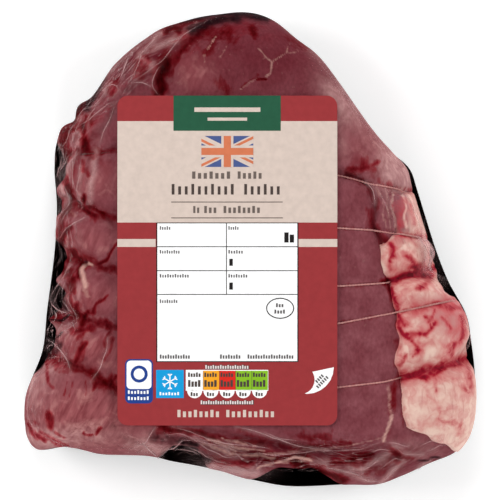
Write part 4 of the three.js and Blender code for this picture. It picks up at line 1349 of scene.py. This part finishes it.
def tube_faces(rings, sides, start, closed):
    """Quads along a tube of rings, with end caps where it isn't closed on itself."""
    here = np.arange(rings if closed else rings - 1)
    following = (here + 1) % rings
    faces = []
    for side in range(sides):
        beside = (side + 1) % sides
        corners = [here * sides + side, here * sides + beside,
                   following * sides + beside, following * sides + side]
        faces += (np.stack(corners, axis=1) + start).tolist()
    if not closed:
        faces.append([start + side for side in reversed(range(sides))])
        faces.append([start + (rings - 1) * sides + side for side in range(sides)])
    return faces


def twine():
    material = cotton_twine()
    for number, (route, lobe, fat) in enumerate(TWINE, start=1):
        line = twine_line(route, lobe, fat)
        strands = [strand(line, phase) for phase in (0, math.pi)]
        points = np.concatenate(strands).reshape(-1, 3)
        faces = [face for start in (0, len(points) // 2)
                 for face in tube_faces(len(line), STRAND_SIDES, start, closed=True)]
        piece = mesh_piece(f"twine_loop_{number}", points, faces, material)
        x, y, _ = points.T
        in_lobes, in_fat = softness(x, y)
        in_patches = STRAND_FAT_BLOOD * fat * in_fat * uneven(points, *STRAND_PATCHES) / 2
        paint_mask(piece, "blood", STRAND_LOBE_BLOOD * lobe * in_lobes + in_patches)


# ---- The two films

film_rays = rays_towards(np.linspace(0, FULL_TURN, FILM_DIRECTIONS, endpoint=False))


def film_height(skin):
    """The clear film's relief: the meat's, with the film's own folds on it."""
    standing = clear_of_label(skin.x, skin.y) * smooth(skin.upward / SINK_FADE)
    height = skin_relief(skin, FAT_STEP) - lobe_lumps(skin)
    for route, spread, white in FOLDS:
        ridge = FOLD_RISE * white * bell(distance_to_route(route, skin.x, skin.y), spread)
        height = height + standing * ridge
    return height


def on_both_faces(values, at_middle):
    """Values of a net's rows as its closed sheet has them: outside, inside, both middles."""
    return np.concatenate([values.ravel(), values[::-1].ravel(), [at_middle, at_middle]])


def clear_film():
    skin = rows_of_form(film_rays, UNDER_LABEL_ROWS, FILM_SHOWN_ROWS)
    height = film_height(skin)
    outer = raised(skin, height)
    inner = raised(skin, height - SHEET_THICKNESS)
    for rows in (outer, inner):
        rows[..., 2] = np.maximum(rows[..., 2], RIM_HEIGHT + FILM_GAP)
    rows = np.concatenate([outer, inner[::-1]])
    crown = crown_height(*MIDDLE)
    points, faces = closed_net(rows, over_middle(crown), over_middle(crown - SHEET_THICKNESS))
    film = clear_barrier_film()
    piece = mesh_piece("clear_film", points, faces, film)
    round_folds = [(route, max(spread, FOLD_HAZE_WIDTH), FOLD_HAZE * white * spread)
                   for route, spread, white in FOLDS]
    clear = film_clearness(skin.x, skin.y)
    # The folds' haze and the veils, which are partly painted sheen.
    haze = (most_of(round_folds, skin.x, skin.y) + sum_of(VEILS, skin.x, skin.y)) * clear
    paint_mask(piece, "haze", on_both_faces(haze, 0))
    paint_mask(piece, "wrinkled", wrinkled(points) * on_both_faces(clear, 1))
    paint_fold_places(piece, points, on_both_faces(from_rim(skin.points), 0))
    film_folds(film)


def film_folds(film):
    """The film's pinched folds: thin ridges along it that thin out at both ends."""
    points, faces, haze = [], [], []
    for number, (route, spread, white) in enumerate(FOLDS):
        plan = softened(evenly(np.array(route), FOLD_STEP), FOLD_SOFTENING, closed=False)
        plan = wander(*plan.T, *FOLD_JITTER, FOLD_SEED + number)
        skin = form_under(*plan)
        line = raised(skin, film_height(skin))
        line[:, 2] = np.maximum(line[:, 2], RIM_HEIGHT + FILM_GAP)
        swell = np.sin(math.pi * np.linspace(0, 1, len(line)))
        crest = FOLD_THICKNESS * spread ** 0.5 / (1 + spread ** 4)
        thick = (crest * swell ** FOLD_TAPER + FOLD_TIP) * uneven(line, *FOLD_UNEVEN)
        side, up = across_line(line, closed=False)
        faces += tube_faces(len(line), FOLD_SIDES, len(points), closed=False)
        rings = rings_round(line, thick[:, None], side, FOLD_FLATNESS * up, FOLD_SIDES)
        points = [*points, *rings.reshape(-1, 3)]
        seen = white * at_least(FOLD_LEAST, film_clearness(*plan)) * at_least(FOLD_LEAST, swell)
        haze += np.repeat(seen, FOLD_SIDES).tolist()
    piece = mesh_piece("film_folds", points, faces, film)
    paint_mask(piece, "haze", np.array(haze))
    paint_mask(piece, "wrinkled", np.zeros(len(haze)))


def base_film():
    round_from_lip = np.cos(film_rays.angle - math.radians(LIP_DIRECTION))
    lip = smooth((round_from_lip - LIP_END) / LIP_FADE)
    drawn_in = BASE_FILM_TUCK * (1 - lip) - BASE_FILM_LIP * lip
    inside, outside = (underside(film_rays, BASE_FILM_ROWS, inset, TUCK_GROOVE_FILM, drawn_in)
                       for inset in (BASE_FILM_THICKNESS, 0))
    rows = np.concatenate([inside[::-1], outside])
    points, faces = closed_net(rows, over_middle(BASE_FILM_THICKNESS), over_middle(0))
    piece = mesh_piece("black_base_film", points, faces, black_barrier_film())
    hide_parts("black_backing")


# ---- The label: a sheet of paper with its print as fields of colour
#
# Places and sizes on the label are millimetres from its middle. Each shape is laid on the
# shapes before it by its layer, a hair's breadth up.

def lay_on(layer, ink):
    """Lifts the selected shape to its layer and gives it its ink."""
    bpy.ops.transform.translate(value=(0, 0, layer * INK_LAYER))
    sheet = bpy.context.object
    sheet.active_material_index = sheet.data.materials.find("ink_" + ink)
    bpy.ops.object.material_slot_assign()


def trim(trims):
    """Cuts off the selected shape past each line, given by a place and the way out."""
    for place, way_out in trims:
        bpy.ops.mesh.bisect(plane_co=(*place, 0), plane_no=(*way_out, 0), clear_outer=True)
        bpy.ops.mesh.select_linked()


def print_panel(place, size, layer, ink, turn=0.0, corner=0.0, trims=()):
    """A rectangle, turned clockwise by degrees, with round corners, or trimmed."""
    bpy.ops.mesh.select_all(action="DESELECT")
    bpy.ops.mesh.primitive_plane_add(size=1, location=(*place, 0))
    bpy.ops.transform.resize(value=(*size, 1), center_override=(*place, 0))
    if corner:
        bpy.ops.mesh.bevel(affect="VERTICES", offset=corner, segments=CORNER_STEPS)
    if turn:
        bpy.ops.transform.rotate(
            value=math.radians(turn), orient_axis="Z", center_override=(*place, 0))
    trim(trims)
    lay_on(layer, ink)


def print_disc(place, radii, layer, ink, trims=()):
    """An ellipse, or what is left of it inside trims, each a place and a way out."""
    bpy.ops.mesh.select_all(action="DESELECT")
    bpy.ops.mesh.primitive_circle_add(
        vertices=DISC_SIDES, radius=1, fill_type="NGON", location=(*place, 0))
    bpy.ops.transform.resize(value=(*radii, 1), center_override=(*place, 0))
    trim(trims)
    lay_on(layer, ink)


def span_panel(left, right, bottom, top, layer, ink, corner=0.0):
    """A rectangle given by its sides."""
    place = ((left + right) / 2, (bottom + top) / 2)
    print_panel(place, (right - left, top - bottom), layer, ink, corner=corner)


def type_line(words, bottom, height, letter, layer, ink, filled=LETTER_WIDTH):
    """Greeked type: a row of plain blocks where each word stands, and no letters."""
    for left, right in words:
        count = max(round((right - left) / letter), 1)
        pitch = (right - left) / count
        for number in range(count):
            top = bottom + height * (SHORT_LETTER if number % TALL_EVERY else 1)
            start = left + number * pitch
            span_panel(start, start + filled * pitch, bottom, top, layer, ink)


def print_heading():
    span_panel(-50, 50, 17.3, 63.4, 1, "kraft_cream")
    span_panel(-24.5, 24.3, 59, 75, 2, "bottle_green")
    span_panel(-15, 15, 67.6, 69.6, 3, "kraft_cream")
    span_panel(-9, 9, 63.6, 65, 3, "kraft_cream")
    type_line([(-16, 2.4), (4.7, 16.6)], 37.2, 3.3, 2.6, 3, "warm_grey")
    type_line([(-25.3, 4.6), (7.7, 25.5)], 30, 4.8, 2.9, 3, "dark_brown", filled=0.42)
    type_line([(-15.5, -12), (-10.5, -4.1), (-1.7, 15.7)], 21.6, 3.2, 2.3, 3, "warm_grey")
    for height in (26.6, 19.4):
        span_panel(-25.5, 25.2, height - 0.2, height + 0.2, 3, "warm_grey")


def print_flag():
    """A saltire and a cross, whose thin arms lie beside the middle of the broad ones."""
    middle, width, height = (0, 49.6), 23.6, 14.1
    slope, broad, thin, pinwheel = 26, 3.6, 1.15, 0.6
    edges = {}
    for x, y in ((1, 0), (-1, 0), (0, 1), (0, -1)):
        edges[x, y] = ((middle[0] + x * width / 2, middle[1] + y * height / 2), (x, y))
    print_panel(middle, (width, height), 2, "slate_blue")
    for layer, turn in ((3, slope), (3.4, -slope)):
        print_panel(middle, (1.2 * width, broad), layer, "kraft_cream", turn, trims=edges.values())
    for side_x, side_y in ((1, 1), (-1, 1), (-1, -1), (1, -1)):
        arm = 0.3 * width
        climb = arm * math.tan(math.radians(slope))
        place = (middle[0] + side_x * arm, middle[1] + side_y * climb + pinwheel * side_x)
        print_panel(place, (0.5 * width, thin), 4, "orange", -side_x * side_y * slope,
                    trims=[edges[side_x, 0]])
    for layer, ink, upright, level in ((5, "kraft_cream", 5.5, 5.4), (6, "orange", 3.3, 3.2)):
        print_panel(middle, (upright, height), layer, ink)
        print_panel(middle, (width, level), layer + 0.4, ink)


def print_weigh_panel():
    """Stripes at both sides, and the white form that the scales print in."""
    span_panel(-50, -32.6, 6.2, 9.8, 1, "kraft_cream")
    span_panel(32.4, 50, 6.2, 9.8, 1, "kraft_cream")
    span_panel(-32.3, 32.3, -46.1, 17.3, 2, "black")
    rows = [(6.5, 16.9), (-4.4, 6.1), (-15.2, -4.8)]
    for number, (bottom, top) in enumerate(rows):
        span_panel(-31.8, -0.6, bottom, top, 3, "white")
        span_panel(-0.2, 31.8, bottom, top, 3, "white")
        for left, length in ((-30.7, 5.2 + 4.2 * number), (0.5, 5 + 2 * number)):
            type_line([(left, left + length)], top - 2.9, 1.6, 1.1, 4, "grey")
        if number:
            span_panel(0.9, 2.5, bottom + 2, bottom + 5.2, 4, "black")
    type_line([(25.9, 30.8)], 8.2, 4.6, 2.4, 4, "black", filled=0.8)
    span_panel(-31.8, 31.8, -45.7, -15.6, 3, "white")
    type_line([(-30.7, -22.3)], -19.3, 1.6, 1.1, 4, "grey")
    words = [(-30.7, -16.7), (-3.3, 6.3), (9.2, 30.4)]
    type_line(words, -44.6, 1.9, 1.2, 4, "grey", filled=0.66)
    print_disc((24, -21.7), (6.4, 4.8), 4, "black")
    print_disc((24, -21.7), (5.9, 4.3), 5, "white")
    for height, half in ((-21.2, 1.9), (-24.1, 2.6)):
        type_line([(24 - half, 24 + half)], height, 1.8, 1.2, 6, "grey", filled=0.66)


def print_marks():
    """A plain blue seal, a snowflake, a row of coloured cells, and a corner to peel."""
    span_panel(-46.5, -33.8, -65, -44.8, 1, "royal_blue", corner=2.4)
    span_panel(-45.8, -34.5, -58.4, -45.5, 2, "white", corner=1.8)
    print_disc((-40.1, -51.6), (3.9, 3.9), 3, "royal_blue")
    print_disc((-40.1, -51.6), (2.5, 2.5), 4, "white")
    for height in (-60.6, -63.4):
        type_line([(-45.2, -35.2)], height, 1.6, 1.5, 2, "white")

    span_panel(-32.4, -19.8, -62.5, -49.7, 1, "sky_blue")
    type_line([(-30.8, -21.4)], -61.2, 1.4, 1.3, 2, "white")
    heart = (-26.1, -55)
    for turn in (0, 60, 120):
        print_panel(heart, (0.5, 7), 2, "white", turn)
    for turn in range(0, 360, 60):
        way = math.radians(90 - turn)
        tip = (heart[0] + 2.5 * math.cos(way), heart[1] + 2.5 * math.sin(way))
        for lean in (45, -45):
            offset = math.radians(90 - turn - lean)
            barb = (tip[0] + 0.6 * math.cos(offset), tip[1] + 0.6 * math.sin(offset))
            print_panel(barb, (0.45, 1.4), 3, "white", turn + lean)

    span_panel(-18.9, 18.6, -59.2, -49.7, 1, "white")
    span_panel(-18.3, 18.1, -58.8, -50.1, 2, "dark_brown")
    cells = ["white", "amber", "signal_red", "leaf_green", "leaf_green"]
    pitch = 7.38
    for number, ink in enumerate(cells):
        left = -18.3 + number * pitch
        middle = left + (pitch - 0.5) / 2
        print_disc((middle, -59.2), (3.4, 3.4), 1, "white")
        span_panel(left, left + pitch - 0.2, -58.8, -50.1, 3, ink)
        type_line([(middle - 3, middle + 3)], -52.9, 2, 1.2, 4, "dark_brown", filled=0.7)
        type_line([(middle - 3, middle + 3)], -57.4, 3.1, 1.5, 4, "dark_brown", filled=0.74)
        type_line([(middle - 1.8, middle + 1.8)], -61.6, 1.8, 1.1, 3, "dark_brown", filled=0.66)
    for half, height in ((10, -49.2), (12.1, -65.3)):
        type_line([(-half, half)], height - 0.2, 2.1, 1.1, 1, "dark_brown", filled=0.95)
        type_line([(-half, half)], height, 1.7, 1.1, 2, "pale_red", filled=0.6)
    type_line([(-22.7, -2.7), (-0.5, 22.3)], -71.2, 3.3, 2.5, 1, "kraft_cream")
    peel = [((35.3, -60.4), (-0.95, 0.32)), ((38.6, -50.6), (-0.21, 0.98))]
    print_disc((36.3, -48.5), (12.1, 12.1), 1, "white", peel)
    print_disc((33.1, -54.2), (6.6, 6.6), 2, "brick_red")
    for middle_x, middle_y, count in ((41.9, -53.7, 4), (43.2, -55.3, 6)):
        for number in range(count):
            step = 0.85 * (number - (count - 1) / 2)
            print_panel((middle_x + step, middle_y + step), (0.7, 1.5), 3, "grey", -45)


def paper_label():
    bpy.ops.mesh.primitive_plane_add(size=1)
    sheet = bpy.context.object
    sheet.name = "printed_label"
    for name, hex_colour in INKS.items():
        sheet.data.materials.append(printed_ink("ink_" + name, hex_colour))
    bpy.ops.object.mode_set(mode="EDIT")
    bpy.ops.transform.resize(value=(LABEL.width, LABEL.length, 1))
    bpy.ops.mesh.bevel(affect="VERTICES", offset=LABEL.corner, segments=LABEL_CORNER_STEPS)
    print_heading()
    print_flag()
    print_weigh_panel()
    print_marks()
    for size, (way_x, way_y) in ((LABEL.width, (1, 0)), (LABEL.length, (0, 1))):
        for place in np.arange(-size / 2 + LABEL_BEND_STEP, size / 2, LABEL_BEND_STEP):
            bpy.ops.mesh.select_all(action="SELECT")
            bpy.ops.mesh.bisect(plane_co=(way_x * place, way_y * place, 0), plane_no=(way_x, way_y, 0))
    bpy.ops.object.mode_set(mode="OBJECT")
    top = FILM_GAP + LABEL.thickness - INK_LAYERS * INK_LAYER
    for vertex in sheet.data.vertices:
        x, y, z = vertex.co
        x, y = x + LABEL.x, y + LABEL.y
        vertex.co = (x * MM, y * MM, (z + top + crown_height(x, y)) * MM)
    paper = sheet.modifiers.new("paper", "SOLIDIFY")
    paper.thickness = PAPER_THICKNESS * MM
    paper.offset = -1
    bpy.ops.object.modifier_apply(modifier="paper")
    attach(sheet, "root")
    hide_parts("label")


lean_joint()
slab_of_fat()
twine()
clear_film()
base_film()
paper_label()


# ---- Floor, light and camera

def floor():
    bpy.ops.mesh.primitive_plane_add(size=FLOOR_SIZE, location=(0, 0, -FLOOR_DROP * MM))
    plane = bpy.context.object
    plane.name = "background_floor"
    plane.data.materials.append(studio_floor())


def soft_light(name, place, size, power):
    """A round softbox that looks at the pack."""
    lamp = bpy.data.lights.new(name, "AREA")
    lamp.shape = "DISK"
    lamp.size = size
    lamp.energy = power
    light = bpy.data.objects.new(name, lamp)
    light.location = place
    light.rotation_mode = "QUATERNION"
    light.rotation_quaternion = light.location.to_track_quat("Z", "Y")
    light.visible_camera = False
    bpy.context.scene.collection.objects.link(light)


def camera():
    lens = bpy.data.cameras.new("camera")
    lens.sensor_width = SENSOR_WIDTH
    lens.lens = SENSOR_WIDTH * (VIEW_HEIGHT - CROWN_HEIGHT * MM) / VIEW_WIDTH
    lens.clip_end = VIEW_END
    eye = bpy.data.objects.new("camera", lens)
    eye.location = (0, 0, VIEW_HEIGHT)
    bpy.context.scene.collection.objects.link(eye)
    bpy.context.scene.camera = eye


def pale_world():
    """A studio that is pale all round and dim overhead, so that what faces up has no glare."""
    world = bpy.data.worlds.new("pale_studio")
    bpy.context.scene.world = world
    world.use_nodes = True
    tree = world.node_tree
    tree.nodes.clear()
    way = add_node(tree, "TexCoord").outputs["Generated"]
    height = add_node(tree, "SeparateXYZ", Vector=way).outputs["Z"]
    walls = add_node(tree, "ValToRGB", [
        (WALL_ENDS, grey(WALL_LIGHT)), (CEILING_STARTS, grey(CEILING_LIGHT))], Fac=height)
    background = add_node(tree, "Background", Color=walls, Strength=1.0)
    add_node(tree, "OutputWorld", Surface=background)


floor()
pale_world()
for name, place, size, power in SOFTBOXES:
    soft_light(name, place, size, power)
camera()
